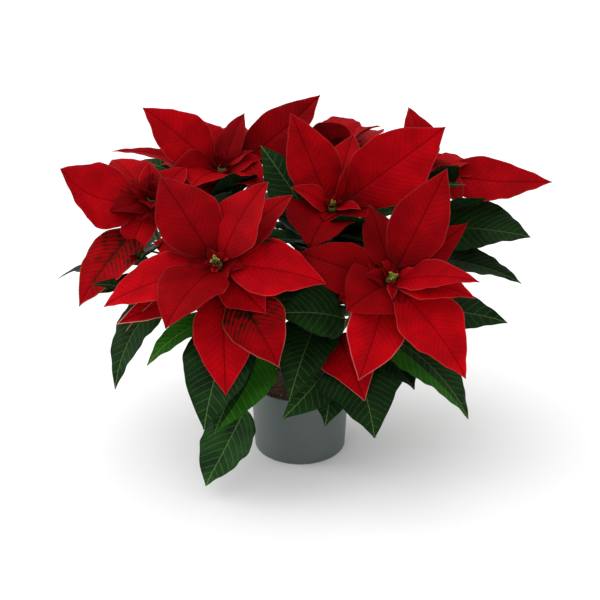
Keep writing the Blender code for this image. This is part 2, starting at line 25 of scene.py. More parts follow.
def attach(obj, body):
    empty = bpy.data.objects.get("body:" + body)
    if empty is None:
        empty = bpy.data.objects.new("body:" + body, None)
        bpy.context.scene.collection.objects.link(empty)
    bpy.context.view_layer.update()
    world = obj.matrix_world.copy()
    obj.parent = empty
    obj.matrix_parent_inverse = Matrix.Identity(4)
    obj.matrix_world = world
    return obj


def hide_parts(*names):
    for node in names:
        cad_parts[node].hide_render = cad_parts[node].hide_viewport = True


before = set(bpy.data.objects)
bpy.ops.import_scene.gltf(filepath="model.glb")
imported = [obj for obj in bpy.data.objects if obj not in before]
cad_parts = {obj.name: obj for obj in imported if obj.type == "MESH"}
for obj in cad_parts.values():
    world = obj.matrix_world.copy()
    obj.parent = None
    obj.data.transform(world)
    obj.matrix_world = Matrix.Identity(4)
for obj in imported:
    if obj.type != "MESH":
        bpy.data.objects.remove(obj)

log = logging.getLogger("poinsettia")

BODY = "root"

MM = 0.001
GAP = 0.3 * MM
POT_HEIGHT = 89 * MM
POT_RIM_RADIUS = 60 * MM
POT_BASE_RADIUS = 56 * MM
POT_SLOPE = (POT_RIM_RADIUS - POT_BASE_RADIUS) / POT_HEIGHT
POT_WALL = 1.8 * MM
POT_FLOOR = 2.5 * MM
TRUNK_RADIUS = 6 * MM
TRUNK_FOOT = 40 * MM
TRUNK_TOP = 106 * MM
KNUCKLE_RADIUS = 10 * MM
FORK_LEVEL = TRUNK_TOP - 8 * MM
FORK_REACH = 5 * MM
STEM_RADIUS = 3 * MM
STEM_SIDES = 6
# Shares of a stem's run that set its bend: outwards, upwards, and back along the head's axis.
BEND_OUT = 0.35
BEND_UP = 0.22
BEND_BACK = 0.3
HUB_RADIUS = 5.5 * MM
HUB_LENGTH = 30 * MM
HUB_SWELL = 8 * MM
CLUSTER_RADIUS = 6 * MM
BLADE_THICKNESS = 0.8 * MM
BLADE_CLEARANCE = 1.0 * MM
STALK_WIDTH = 2.6 * MM
TIP_WIDTH = 1.2 * MM
# Powers of a blade's outline towards its foot and its point, and where its side corners stand.
FOOT_POWER = 0.8
POINT_POWER = 1.15
CORNER_PLACE = 0.42
CORNER_REACH = 0.2
FLOOR_CLEARANCE = 4 * MM
CENTRE_SHARE = 0.28
# How far a leaf's face leans outwards, and how deep in the hub a bract grows above and below its
# swelling, as shares of the hub's radius.
LEAF_OUTWARD = 0.35
ROOT_HIGH = 0.6
ROOT_LOW = 0.25
# A leaf's petiole as a share of its chord, and its arch.
PETIOLE = 0.26
LEAF_ARCH = 0.14
# Places across a half lit leaf beyond which its right or its left half lets the light through and
# is painted lighter.
RIGHT_FROM = 0.4
LEFT_FROM = -0.3
# Factors on the points of small bracts and of leaves that show, and of leaves behind or young.
NEAR_FINE = 0.8
FAR_FINE = 0.62
BROAD = 55.0
# The slow wave of a blade: its height as a share of the half width, and its turns along and across.
WAVE = 0.10
WAVE_ALONG = 1.3
WAVE_ACROSS = 0.25

Colour = tuple[float, ...]
Faces = list[tuple[int, ...]]
Form = tuple[np.ndarray, Faces]
# Two values read and the two values that they turn to.
Band = tuple[float, float, float, float]


def linear(code: str) -> Colour:
    """Turns an sRGB hex colour to linear light.

    Args:
        code: six hex digits after a hash.

    Returns:
        Red, green, blue and an alpha of 1.
    """
    parts = [int(code[i : i + 2], 16) / 255 for i in (1, 3, 5)]
    light = [p / 12.92 if p <= 0.04045 else ((p + 0.055) / 1.055) ** 2.4 for p in parts]
    return (*light, 1.0)


def smooth(edge0: float, edge1: float, value: np.ndarray) -> np.ndarray:
    """Returns values eased from 0 at one edge to 1 at the other."""
    t = np.clip((value - edge0) / (edge1 - edge0), 0.0, 1.0)
    return t * t * (3 - 2 * t)


def link(name: str, data: bpy.types.ID) -> bpy.types.Object:
    """Adds an object to the scene.

    Args:
        name: its name.
        data: its mesh, light or camera.

    Returns:
        The object.
    """
    made = bpy.data.objects.new(name, data)
    bpy.context.scene.collection.objects.link(made)
    return made


class Nodes:
    """A material's node tree while it is being made."""

    def __init__(self, name: str) -> None:
        """Opens an empty material.

        Args:
            name: its name.
        """
        self.material = bpy.data.materials.new(name)
        self.material.use_nodes = True
        self.material.node_tree.nodes.clear()

    def add(self, kind: str, *values: Any, **named: Any) -> bpy.types.Node:
        """Adds a node. An input takes a fixed value, an output, or a node for its first output.

        Args:
            kind: the node's type without its ShaderNode prefix.
            values: what its first inputs take, in order.
            named: what inputs take by name, with '_' for each space, and the node's properties.

        Returns:
            The new node.
        """
        tree = self.material.node_tree
        made = tree.nodes.new(f"ShaderNode{kind}")
        inputs: dict[Any, Any] = dict(enumerate(values))
        for key, value in named.items():
            label = key.replace("_", " ")
            if label in made.inputs:
                inputs[label] = value
            else:
                setattr(made, key, value)
        for key, value in inputs.items():
            source = value.outputs[0] if isinstance(value, bpy.types.Node) else value
            if isinstance(source, bpy.types.NodeSocket):
                tree.links.new(source, made.inputs[key])
            else:
                made.inputs[key].default_value = source
        return made


class Grown(NamedTuple):
    """How a tissue grew, and the light or shade painted on it.

    foot and tip are how green a bract is at its ends, margin is how strongly its pale margin
    shows, and lightness is the range that each blade's lightness is drawn from: a random tone
    within it, with painted light or shade in the ranges of the lit, dim and shade tissues.
    """

    words: str
    foot: float = 0.0
    tip: float = 0.0
    margin: float = 0.08
    lightness: tuple[float, float] = (0.4, 0.65)


class Tissue(Enum):
    """What a blade is made of, and for some the light or shade painted on it."""

    BRACT = Grown("red bract")
    # The next three are red bracts made lighter or darker with painted light and shade.
    PAINTED_LIT = Grown("red bract grown in full light", lightness=(0.75, 0.95))
    PAINTED_DIM = Grown("red bract of a deeper red", lightness=(0.16, 0.3))
    PAINTED_SHADE = Grown("red bract grown in the shade", margin=0.03, lightness=(0.0, 0.12))
    VEINED = Grown("red bract with dark veins, pale margin", 0.5, -0.45, 0.35, (0.7, 0.85))
    TURNING = Grown("bract half turned from green to red", 1.35, -0.45, 0.4)
    BRONZED = Grown("bract turning evenly, bronze all over", 0.85, 0.1, 0.4)
    EDGED = Grown("red bract with a tan margin", 0.3, 0.0, 1.0)
    LEAF = Grown("green leaf", lightness=(0.25, 0.5))
    # The next two are leaves made darker or lighter with painted shade and light.
    PAINTED_SHADE_LEAF = Grown("leaf grown in the shade", lightness=(0.0, 0.2))
    PAINTED_LIT_LEAF = Grown("leaf grown in full light", lightness=(0.7, 0.9))
    # These leaves take, on the strips that let the light through, a finish whose brighter colours
    # are painted light.
    RIGHT_LIT = Grown("leaf whose right half lets the light through")
    LEFT_LIT = Grown("leaf whose left half lets the light through")
    LIT = Grown("leaf that lets the light through")

    def green(self, along: np.ndarray) -> np.ndarray:
        """Returns how green a bract still is, 0 to 1, at shares from its foot to its tip."""
        return np.clip(self.value.foot + (self.value.tip - self.value.foot) * along, 0, 1)

    def lit(self, across: float) -> bool:
        """Says whether a strip of a leaf, that far from its midrib, lets the light through and
        takes the finish painted lighter.
        """
        right = self is Tissue.RIGHT_LIT and across > RIGHT_FROM
        return right or self is Tissue.LIT or self is Tissue.LEFT_LIT and across < LEFT_FROM


class Growth(NamedTuple):
    """Where a blade grows: its node, its root, the point its tip is measured from, its facing."""

    node: str
    root: Vector
    origin: Vector
    facing: Vector


def direction(heading: float, rise: float) -> Vector:
    """Turns angles to a unit vector.

    Args:
        heading: degrees round +Z from +X.
        rise: degrees above level.

    Returns:
        The vector.
    """
    h = math.radians(heading)
    r = math.radians(rise)
    return Vector((math.cos(h) * math.cos(r), math.sin(h) * math.cos(r), math.sin(r)))


def outline(u: float) -> float:
    """Works out a blade's outline.

    Args:
        u: the share from the blade's foot to its tip.

    Returns:
        The half width there, 1 at the widest.
    """
    widest = FOOT_POWER / (FOOT_POWER + POINT_POWER)
    most = widest**FOOT_POWER * (1 - widest) ** POINT_POWER
    return u**FOOT_POWER * max(0.0, 1 - u) ** POINT_POWER / most


@dataclass(frozen=True)
class Blade:
    """A bract or leaf: where its tip lies, its size, what it is made of and how it bends.

    The tip lies at a heading, a rise and a length from the head's top for a bract, or from its
    own root for a leaf. roll turns it about its chord, arch lifts its middle by that share of its
    length, fold raises its two halves by that angle, stalk is the share of the chord without a
    blade, and lobe is how far a corner stands out on each side. at is the root's place:
    millimetres below the head's top for a bract, or the share along the stem for a leaf. strips
    is the number of flat strips across the solid of a broad blade.
    """

    heading: float
    rise: float
    length: float
    width: float
    tissue: Tissue = Tissue.BRACT
    roll: float = 0.0
    arch: float = 0.08
    fold: float = 8.0
    stalk: float = 0.05
    lobe: float = 0.0
    at: float = 6.0
    strips: int = 4

    def axes(self, growth: Growth) -> tuple[Vector, Vector, Vector]:
        """Works out the blade's own directions.

        Args:
            growth: where the blade grows.

        Returns:
            The chord with its length, the sideways direction and the upper one.
        """
        reach = direction(self.heading, self.rise) * self.length * MM
        chord = growth.origin + reach - growth.root
        along = chord.normalized()
        facing = growth.facing
        upper = (facing - along * facing.dot(along)).normalized()
        upper = Matrix.Rotation(math.radians(self.roll), 3, along) @ upper
        return chord, along.cross(upper), upper

    def half_width(self, share: float) -> float:
        """Works out the half width, with the petiole's before the blade and a blunt tip.

        Args:
            share: the share of the chord.

        Returns:
            The half width in metres.
        """
        half = STALK_WIDTH / 2
        if share > self.stalk:
            u = (share - self.stalk) / (1 - self.stalk)
            corner = max(0.0, 1 - abs(u - CORNER_PLACE) / CORNER_REACH)
            full = self.width * MM / 2 * outline(u) * (1 + self.lobe * corner)
            half = max(full, STALK_WIDTH / 2 * (1 - u) + TIP_WIDTH / 2 * u)
        return half

    def point(
        self, root: Vector, axes: tuple[Vector, Vector, Vector], share: float, across: float
    ) -> Vector:
        """Works out a point of the solid's middle surface.

        Args:
            root: where the blade grows.
            axes: the blade's own directions.
            share: the place from the root (0) to the tip (1).
            across: the place from one edge (-1) to the other (1).

        Returns:
            The point in metres.
        """
        chord, sideways, upper = axes
        half = self.half_width(share)
        turns = WAVE_ALONG * share + WAVE_ACROSS * across + self.heading / 360
        wave = WAVE * math.sin(math.tau * turns)
        fold = math.radians(self.fold)
        lift = half * (abs(across) * math.sin(fold) + wave * across * across)
        arch = self.arch * chord.length * 4 * share * (1 - share)
        aside = half * across * math.cos(fold)
        return root + chord * share + sideways * aside + upper * (arch + lift)

    def shells(self, growth: Growth) -> tuple[float, BVHTree, BVHTree]:
        """Works out what the crossing tests need, with both faces moved apart by the clearance.

        Args:
            growth: where the blade grows.

        Returns:
            The lowest height, the tree of the whole blade and that of its part past the foot.
        """
        steps = 5 if self.length > 125 else 4 if self.length > 45 else 3
        rows = [0.0] + [self.stalk + (1 - self.stalk) * i / steps for i in range(steps + 1)]
        wide = (self.strips if self.width > BROAD else 2) + 1
        axes = self.axes(growth)
        sheet = [
            self.point(growth.root, axes, share, 2 * j / (wide - 1) - 1)
            for share in rows for j in range(wide)
        ]
        offset = axes[2] * (BLADE_THICKNESS / 2 + BLADE_CLEARANCE / 2)
        points = [p + offset for p in sheet] + [p - offset for p in sheet]
        whole = []
        outer = []
        cells = itertools.product(range(len(rows) - 1), range(wide - 1), (0, len(sheet)))
        for i, j, side in cells:
            a = side + i * wide + j
            face = (a, a + 1, a + wide + 1, a + wide)
            whole.append(face)
            if rows[i] >= CENTRE_SHARE:
                outer.append(face)
        lowest = min(p.z for p in points)
        return lowest, BVHTree.FromPolygons(points, whole), BVHTree.FromPolygons(points, outer)


def leaf(
    at: float, heading: float, rise: float, length: float, width: float,
    tissue: Tissue = Tissue.LEAF, **sizes: float,
) -> Blade:
    """Returns a green leaf with its long petiole; sizes are a blade's other fields."""
    sizes = {"arch": LEAF_ARCH, "stalk": PETIOLE} | sizes
    return Blade(heading, rise, length, width, tissue, at=at, **sizes)


def inner_leaf(at: float, heading: float, rise: float, length: float, width: float) -> Blade:
    """Returns a green leaf that stands inside or behind the plant, folded along its midrib."""
    return leaf(at, heading, rise, length, width, fold=10.0, strips=2)


def young_leaf(at: float, heading: float, rise: float, length: float, width: float) -> Blade:
    """Returns a young leaf: straight, and darkened with painted shade."""
    return leaf(at, heading, rise, length, width, Tissue.PAINTED_SHADE_LEAF, arch=0.0)


def ring(headings: Iterable[float], rise: float, length: float, width: float) -> list[Blade]:
    """Returns large outer bracts of one size at the given headings, folded along the midrib."""
    return [Blade(h, rise, length, width, stalk=0.1, at=9.0, strips=2) for h in headings]


@dataclass(frozen=True)
class Head:
    """One flower head on its stem: its top's place, its lean, its bracts and its leaves."""

    top: tuple[float, float, float]
    lean_heading: float
    lean: float
    bracts: list[Blade]
    leaves: list[Blade]

    def axis(self) -> Vector:
        """Returns the direction in which the stem ends."""
        return direction(self.lean_heading, 90 - self.lean)

    def tip(self) -> Vector:
        """Returns the place of the head's top in metres."""
        return Vector(self.top) * MM

    def fork(self, reach: float) -> Vector:
        """Returns the place that far out from the knuckle's side, towards the head."""
        heading = math.degrees(math.atan2(self.top[1], self.top[0]))
        return direction(heading, 0) * (KNUCKLE_RADIUS + GAP + reach) + Vector((0, 0, FORK_LEVEL))

    def stem_point(self, share: float) -> Vector:
        """Works out a point on the stem's centre line.

        Args:
            share: the place from the fork (0) to the head (1).

        Returns:
            The point in metres.
        """
        start = self.fork(FORK_REACH)
        axis = self.axis()
        end = self.tip() - axis * (HUB_LENGTH + GAP)
        reach = (end - start).length
        bend = start + Vector((end.x, end.y, 0)) * BEND_OUT + Vector((0, 0, BEND_UP * reach))
        rest = end - axis * BEND_BACK * reach
        a = 1 - share
        return a**3 * start + 3 * a * a * share * bend + 3 * a * share**2 * rest + share**3 * end

    def bract_growth(self, node: str, blade: Blade) -> Growth:
        """Works out where a bract grows in the hub, deeper in below its swelling.

        Args:
            node: the bract's node.
            blade: the bract.

        Returns:
            The bract's growth.
        """
        axis = self.axis()
        along = direction(blade.heading, blade.rise)
        outward = (along - axis * along.dot(axis)).normalized()
        out = ROOT_HIGH if blade.at * MM < HUB_SWELL else ROOT_LOW
        root = self.tip() - axis * blade.at * MM + outward * out * HUB_RADIUS
        return Growth(node, root, self.tip(), axis)

    def leaf_growth(self, node: str, blade: Blade, clear: float = 0.0) -> Growth:
        """Works out where a leaf grows on the stem.

        Args:
            node: the leaf's node.
            blade: the leaf.
            clear: how far its root stands off the stem's centre line.

        Returns:
            The leaf's growth.
        """
        spot = self.stem_point(blade.at)
        outward = Vector((spot.x, spot.y, 0)).normalized()
        facing = (Vector((0, 0, 1)) + outward * LEAF_OUTWARD).normalized()
        root = spot + direction(blade.heading, 0) * clear
        return Growth(node, root, root, facing)


HEADS: dict[str, Head] = {
    "front_left": Head((-89, -100, 280), -115, 35, [
        Blade(-6, -9, 119, 70, Tissue.PAINTED_LIT),
        Blade(-118, -20, 105, 78, Tissue.PAINTED_DIM),
        Blade(-161, -15, 127, 66, Tissue.PAINTED_LIT, stalk=0.1, at=12.0),
        Blade(141, 45, 113, 70, Tissue.PAINTED_DIM, stalk=0.08),
        Blade(27, 53, 102, 66),
        Blade(81, 55, 70, 28, arch=0.0),
        Blade(149, 5, 85, 44),
        Blade(30, 33, 112, 52, stalk=0.12, at=11.0),
        Blade(15, 45, 25, 14, at=2.0),
        Blade(-95, -10, 16, 10, at=2.0),
        Blade(-28, -38, 76, 52, at=16.0),
        Blade(-80, -65, 142, 66, Tissue.PAINTED_LIT, roll=-14, stalk=0.1, at=26.0),
        Blade(-41, -43, 130, 68, Tissue.TURNING, stalk=0.22, at=28.0),
        Blade(-158, -31, 120, 36, Tissue.EDGED, roll=55, stalk=0.1, at=28.0),
    ], [
        leaf(0.68, -110, -39, 146, 82, stalk=0.12),
        leaf(0.30, -124, -42, 172, 76, Tissue.PAINTED_LIT_LEAF, arch=-0.03, stalk=0.42),
        leaf(0.50, -111, -32, 136, 84, Tissue.LEFT_LIT, roll=-35, fold=22.0, stalk=0.15),
        leaf(0.65, -148, -14, 127, 46, Tissue.LIT),
        inner_leaf(0.80, 160, 5, 120, 56),
        inner_leaf(0.88, 60, 0, 110, 52),
    ]),
    "front_right": Head((98, -105, 264), -70, 38, [
        Blade(-39, -42, 132, 74, Tissue.PAINTED_LIT, stalk=0.06),
        Blade(-125, -57, 115, 64, Tissue.VEINED),
        Blade(26, 61, 129, 62, Tissue.PAINTED_DIM, stalk=0.1),
        Blade(-140, -17, 68, 68, Tissue.PAINTED_SHADE),
        Blade(-31, -1, 95, 46, Tissue.PAINTED_LIT),
        Blade(-37, 16, 105, 42, at=10.0),
        Blade(-28, 28, 60, 30),
        Blade(-93, -33, 28, 12, at=2.0),
        Blade(90, 35, 45, 24, at=3.0),
        Blade(178, -24, 62, 62, Tissue.PAINTED_SHADE, at=10.0),
        Blade(110, 39, 90, 45, Tissue.PAINTED_SHADE),
        Blade(15, 37, 100, 40, Tissue.PAINTED_SHADE, at=10.0),
        Blade(163, 8, 104, 56, Tissue.PAINTED_SHADE, roll=-20, stalk=0.1, at=12.0),
        Blade(60, 20, 95, 48, stalk=0.1, at=12.0),
    ], [
        leaf(0.45, -73, -33, 122, 80, roll=4, stalk=0.12, lobe=0.36),
        leaf(0.60, -41, -22, 164, 78, Tissue.RIGHT_LIT, stalk=0.16),
        leaf(0.80, -16, 1, 148, 56, Tissue.PAINTED_SHADE_LEAF, roll=25, arch=0.08),
        leaf(0.25, -94, -18, 105, 54),
        leaf(0.30, -117, -9, 130, 52),
        leaf(0.60, -150, 21, 116, 66, roll=-25),
        inner_leaf(0.85, 40, 0, 120, 52),
        inner_leaf(0.62, 45, -12, 130, 56),
        inner_leaf(0.70, 150, 0, 110, 56),
    ]),
    "centre": Head((37, -5, 312), -90, 18, [
        Blade(-113, -22, 75, 90, Tissue.PAINTED_SHADE, fold=20.0),
        Blade(152, 62, 114, 62, roll=-15, arch=0.0),
        Blade(1, 36, 153, 82, Tissue.PAINTED_LIT, roll=58, arch=0.0, stalk=0.12),
        Blade(-164, 24, 55, 34),
        Blade(-21, -8, 60, 32),
        Blade(32, 54, 90, 40, roll=60),
        Blade(-40, 10, 40, 20, at=3.0),
        Blade(70, 40, 100, 48, at=9.0, stalk=0.1),
        Blade(110, 30, 105, 52, at=11.0, stalk=0.1),
    ], [
        leaf(0.45, -105, -17, 165, 66, roll=10, stalk=0.2),
        leaf(0.80, 4, 36, 175, 52, roll=20),
        leaf(0.80, 165, 60, 150, 56, roll=-60),
        leaf(0.75, -155, 26, 107, 72, arch=0.06),
        leaf(0.90, -63, 8, 86, 54, roll=35, stalk=0.15),
        leaf(0.92, -111, -4, 72, 54, stalk=0.12),
        inner_leaf(0.72, 178, 30, 100, 72),
        inner_leaf(0.55, 95, 0, 140, 60),
        inner_leaf(0.62, -168, 6, 92, 66),
        inner_leaf(0.56, -84, 16, 82, 60),
        inner_leaf(0.62, -40, -20, 120, 60),
        inner_leaf(0.82, -110, -8, 92, 60),
    ]),
    "back_left": Head((-93, 70, 335), -95, 12, [
        Blade(177, 38, 115, 64, Tissue.PAINTED_LIT, roll=-38, arch=0.04, stalk=0.1),
        Blade(-151, -11, 76, 66, roll=-35, fold=15.0),
        Blade(9, 35, 144, 60, Tissue.PAINTED_DIM, roll=44, arch=-0.14, stalk=0.16),
        Blade(60, 55, 75, 36, Tissue.PAINTED_SHADE),
        Blade(18, 43, 42, 20, at=3.0),
        Blade(-40, -10, 66, 64, at=10.0),
        Blade(-176, 10, 130, 30, stalk=0.2, at=18.0),
        *ring((81, 123), 15, 105, 56),
        *ring((150,), -6, 92, 48),
    ], [
        leaf(0.88, 150, 30, 140, 30, roll=-38),
        leaf(0.75, -34, 45, 111, 54, roll=30),
        inner_leaf(0.70, 150, -15, 150, 66),
        inner_leaf(0.62, 95, -10, 145, 62),
        inner_leaf(0.50, 185, -12, 150, 62),
        inner_leaf(0.75, -80, 5, 115, 60),
        inner_leaf(0.60, -140, 5, 120, 56),
        inner_leaf(0.80, -84, 48, 86, 58),
    ]),
    "back_right": Head((149, 70, 337), -40, 12, [
        Blade(-15, -3, 149, 56, roll=42, arch=-0.09, stalk=0.08),
        Blade(108, 47, 80, 44),
        Blade(-130, 7, 60, 36),
        Blade(150, 20, 60, 34),
        Blade(-56, -26, 74, 52, at=11.0),
        *ring((27, 61), -14, 112, 58),
        *ring((99,), 10, 105, 58),
    ], [
        leaf(0.80, -28, 4, 154, 90, Tissue.PAINTED_SHADE_LEAF, roll=38, arch=0.02),
        leaf(0.60, -31, -1, 172, 62, Tissue.PAINTED_SHADE_LEAF, roll=25, arch=0.09),
        leaf(0.60, -7, 7, 110, 40, roll=20),
        inner_leaf(0.70, 40, -12, 150, 64),
        inner_leaf(0.60, 80, -15, 150, 62),
        inner_leaf(0.75, -125, 8, 115, 60),
        inner_leaf(0.60, -85, 0, 125, 56),
    ]),
    "far_left": Head((-165, -20, 326), -80, 25, [
        Blade(-152, 26, 110, 84, Tissue.PAINTED_LIT, roll=-16, arch=-0.24),
        Blade(-130, -57, 82, 40),
        Blade(-134, -50, 146, 58, Tissue.BRONZED, stalk=0.2, at=26.0),
        Blade(-60, 10, 30, 18, at=3.0),
        Blade(100, 35, 50, 26, at=4.0),
        Blade(60, 15, 70, 36),
        *ring((128,), 20, 92, 54),
    ], [
        leaf(0.55, -129, -30, 155, 60, roll=-15, arch=0.22, stalk=0.2),
        leaf(0.60, -154, 12, 155, 74, roll=8, arch=0.12),
        leaf(0.45, -153, 25, 150, 54, roll=-20),
        inner_leaf(0.75, 150, -20, 140, 62),
        inner_leaf(0.60, 120, -10, 140, 62),
        inner_leaf(0.70, -70, -5, 115, 56),
        inner_leaf(0.75, 40, 5, 110, 56),
    ]),
    "back": Head((47, 125, 341), 80, 15, [
        Blade(-17, 34, 62, 60, roll=45),
        Blade(-124, 46, 62, 52),
        Blade(190, 25, 85, 46),
        *ring((21, 56, 122, 152), 0, 112, 58),
        *ring((86,), 11, 99, 58),
    ], [
        inner_leaf(0.75, 60, -18, 150, 66),
        inner_leaf(0.65, 110, -15, 150, 64),
        inner_leaf(0.55, 85, -30, 150, 62),
        inner_leaf(0.80, 150, -10, 140, 60),
        inner_leaf(0.80, -140, 12, 115, 60),
        inner_leaf(0.80, -45, 10, 115, 60),
    ]),
}

LOW_BRACT = Blade(
    -71, -18, 136, 64, Tissue.VEINED, roll=35, arch=0.22, stalk=0.4, lobe=0.15, at=0.4
)


class Placed(NamedTuple):
    """A blade in its final place, with its trees for crossing tests."""

    blade: Blade
    growth: Growth
    whole: BVHTree
    outer: BVHTree


def level(angle: float) -> Vector:
    """Returns the level unit vector at an angle in radians from +X."""
    return Vector((math.cos(angle), math.sin(angle), 0))


def shell(rings: int, sides: int) -> Faces:
    """Works out the faces of a row of rings of points, which a flat cap closes at each end.

    Args:
        rings: how many rings there are.
        sides: how many points go round each.

    Returns:
        The faces, the caps first and last.
    """
    faces: Faces = [tuple(range(sides - 1, -1, -1))]
    for i, k in itertools.product(range(rings - 1), range(sides)):
        a = i * sides + k
        b = i * sides + (k + 1) % sides
        faces.append((a, b, b + sides, a + sides))
    last = (rings - 1) * sides
    return faces + [tuple(range(last, last + sides))]


def tube_tree(points: Sequence[Vector], radius: float) -> BVHTree:
    """Builds a tree of an open tube for crossing tests.

    Args:
        points: the tube's centre line.
        radius: its radius.

    Returns:
        The tree.
    """
    rings = []
    for i, point in enumerate(points):
        ahead = points[min(i + 1, len(points) - 1)] - points[max(i - 1, 0)]
        turn = ahead.to_track_quat("Z", "Y")
        for k in range(STEM_SIDES):
            rings.append(point + turn @ (level(math.tau * k / STEM_SIDES) * radius))
    return BVHTree.FromPolygons(rings, shell(len(points), STEM_SIDES)[1:-1])


@dataclass
class Settling:
    """Puts every blade where its solid is: at the least turn that clears all before it."""

    rises: tuple[int, ...] = (0, 4, -4, 8, -8, 13, -13, 19, -19)
    headings: tuple[int, ...] = (0, 5, -5, 10, -10, 16, -16)
    rolls: tuple[int, ...] = (0, 14, -14, 28, -28)
    lengths: tuple[float, ...] = (1.0, 0.85, 0.7)
    roll_cost: float = 0.3
    placed: list[Placed] = field(default_factory=list)

    def __post_init__(self) -> None:
        """Works out the solids to clear and the turns to try, the least first."""
        turns = itertools.product(self.rises, self.headings, self.rolls)
        cost = self.roll_cost
        self.turns = sorted(turns, key=lambda t: abs(t[0]) + abs(t[1]) + cost * abs(t[2]))
        self.solids = self.find_solids()

    def find_solids(self) -> list[tuple[str, BVHTree]]:
        """Works out the trees of the pot, trunk, stems, hubs and clusters.

        Returns:
            The nodes that own them and the trees.
        """
        margin = 2 * MM
        line = [Vector((0, 0, z)) for z in (0.0, POT_HEIGHT / 2, POT_HEIGHT + margin)]
        solids = [("pot", tube_tree(line, POT_RIM_RADIUS + 3 * margin))]
        line = [Vector((0, 0, z)) for z in (POT_HEIGHT, TRUNK_TOP)]
        solids.append(("trunk", tube_tree(line, KNUCKLE_RADIUS + GAP)))
        for key, head in HEADS.items():
            top = head.tip()
            axis = head.axis()
            line = [head.fork(0)] + [head.stem_point(i / 8) for i in range(9)]
            solids.append((f"stem_{key}", tube_tree(line, STEM_RADIUS + GAP)))
            line = [top - axis * HUB_LENGTH, top - axis * 2 * GAP]
            solids.append((f"bracts_{key}", tube_tree(line, HUB_RADIUS + GAP)))
            line = [top + axis * h * MM for h in (0.5, 8)]
            solids.append((f"cyathia_{key}", tube_tree(line, CLUSTER_RADIUS)))
        return solids

    def crosses(self, node: str, lowest: float, whole: BVHTree, outer: BVHTree) -> bool:
        """Says whether a blade meets the floor, a solid of another node, or a placed blade.

        Args:
            node: the blade's node.
            lowest: its lowest height.
            whole: its tree.
            outer: the tree of its part past the foot.

        Returns:
            True where it meets one.
        """
        if lowest < FLOOR_CLEARANCE:
            return True
        if any(owner != node and whole.overlap(tree) for owner, tree in self.solids):
            return True
        return any(
            outer.overlap(other.outer) if other.growth.node == node else whole.overlap(other.whole)
            for other in self.placed
        )

    def settle(self, blade: Blade, growth: Growth) -> None:
        """Adds a blade at the least turn that clears everything already there.

        Args:
            blade: the blade as the table gives it.
            growth: where it grows.
        """
        for shorter, (rise, heading, roll) in itertools.product(self.lengths, self.turns):
            trial = replace(
                blade, rise=blade.rise + rise, heading=blade.heading + heading,
                roll=blade.roll + roll, length=blade.length * shorter, width=blade.width * shorter,
            )
            lowest, whole, outer = trial.shells(growth)
            if not self.crosses(growth.node, lowest, whole, outer):
                self.placed.append(Placed(trial, growth, whole, outer))
                return

    def run(self) -> dict[str, list[Placed]]:
        """Places all the blades.

        Returns:
            The placed blades by node.
        """
        for key, head in HEADS.items():
            for blade in head.bracts:
                self.settle(blade, head.bract_growth(f"bracts_{key}", blade))
        low = HEADS["centre"].leaf_growth("low_bract", LOW_BRACT, STEM_RADIUS + 3 * GAP)
        self.settle(LOW_BRACT, low)
        for key, head in HEADS.items():
            for blade in head.leaves:
                self.settle(blade, head.leaf_growth(f"stem_{key}", blade))
        by_node: dict[str, list[Placed]] = {}
        for one in self.placed:
            by_node.setdefault(one.growth.node, []).append(one)
        return by_node


class Surface:
    """A mesh under construction, with the finish of each face and the values finishes read."""

    def __init__(self, sharp: float = 50.0) -> None:
        """Starts without points or faces.

        Args:
            sharp: the least angle in degrees at which an edge shows.
        """
        self.sharp = sharp
        self.points: list[np.ndarray] = []
        self.faces: Faces = []
        self.marks: list[int] = []
        self.vein: list[np.ndarray] = []
        self.tone: list[np.ndarray] = []
        self.count = 0

    def add(
        self, points: np.ndarray, faces: Sequence[Sequence[int]], mark: int | Sequence[int] = 0,
        vein: np.ndarray | None = None, tone: np.ndarray | None = None, move: Matrix | None = None,
    ) -> None:
        """Adds a closed form.

        Args:
            points: its points.
            faces: its faces by their point numbers.
            mark: the number of its finish, or one for each face.
            vein: side vein phase, distance from midrib and margin in mm, and 1 on the upper side.
            tone: greenness, a number drawn for the blade that sets its lightness with painted light
                and shade, nearness to its foot, margin strength.
            move: the matrix that places it.
        """
        if move is not None:
            m = np.array(move)
            points = points @ m[:3, :3].T + m[:3, 3]
        size = len(points)
        self.points.append(points)
        self.faces.extend(tuple(i + self.count for i in face) for face in faces)
        self.marks.extend([mark] * len(faces) if isinstance(mark, int) else mark)
        self.vein.append(np.zeros((size, 4)) if vein is None else vein)
        self.tone.append(np.zeros((size, 4)) if tone is None else tone)
        self.count += size

    def build(
        self, name: str, finishes: Sequence[bpy.types.Material], node: str, slot: str
    ) -> bpy.types.Object:
        """Makes the piece, riding on the plant's body in the place of its solid.

        Args:
            name: its name.
            finishes: its materials by number.
            node: the solid's node.
            slot: its material slot; not used.

        Returns:
            The piece.
        """
        mesh = bpy.data.meshes.new(name)
        mesh.from_pydata(np.concatenate(self.points), [], self.faces)
        for finish in finishes:
            mesh.materials.append(finish)
        mesh.polygons.foreach_set("material_index", np.array(self.marks, dtype=np.int32))
        for label, values in (("vein", self.vein), ("tone", self.tone)):
            layer = mesh.attributes.new(label, "FLOAT_COLOR", "POINT")
            layer.data.foreach_set("color", np.concatenate(values).astype(np.float32).ravel())
        mesh.shade_smooth()
        mesh.set_sharp_from_angle(angle=math.radians(self.sharp))
        made = link(name, mesh)
        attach(made, BODY)
        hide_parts(node)
        log.info("%s: %d points, %d faces", name, len(mesh.vertices), len(mesh.polygons))
        return made


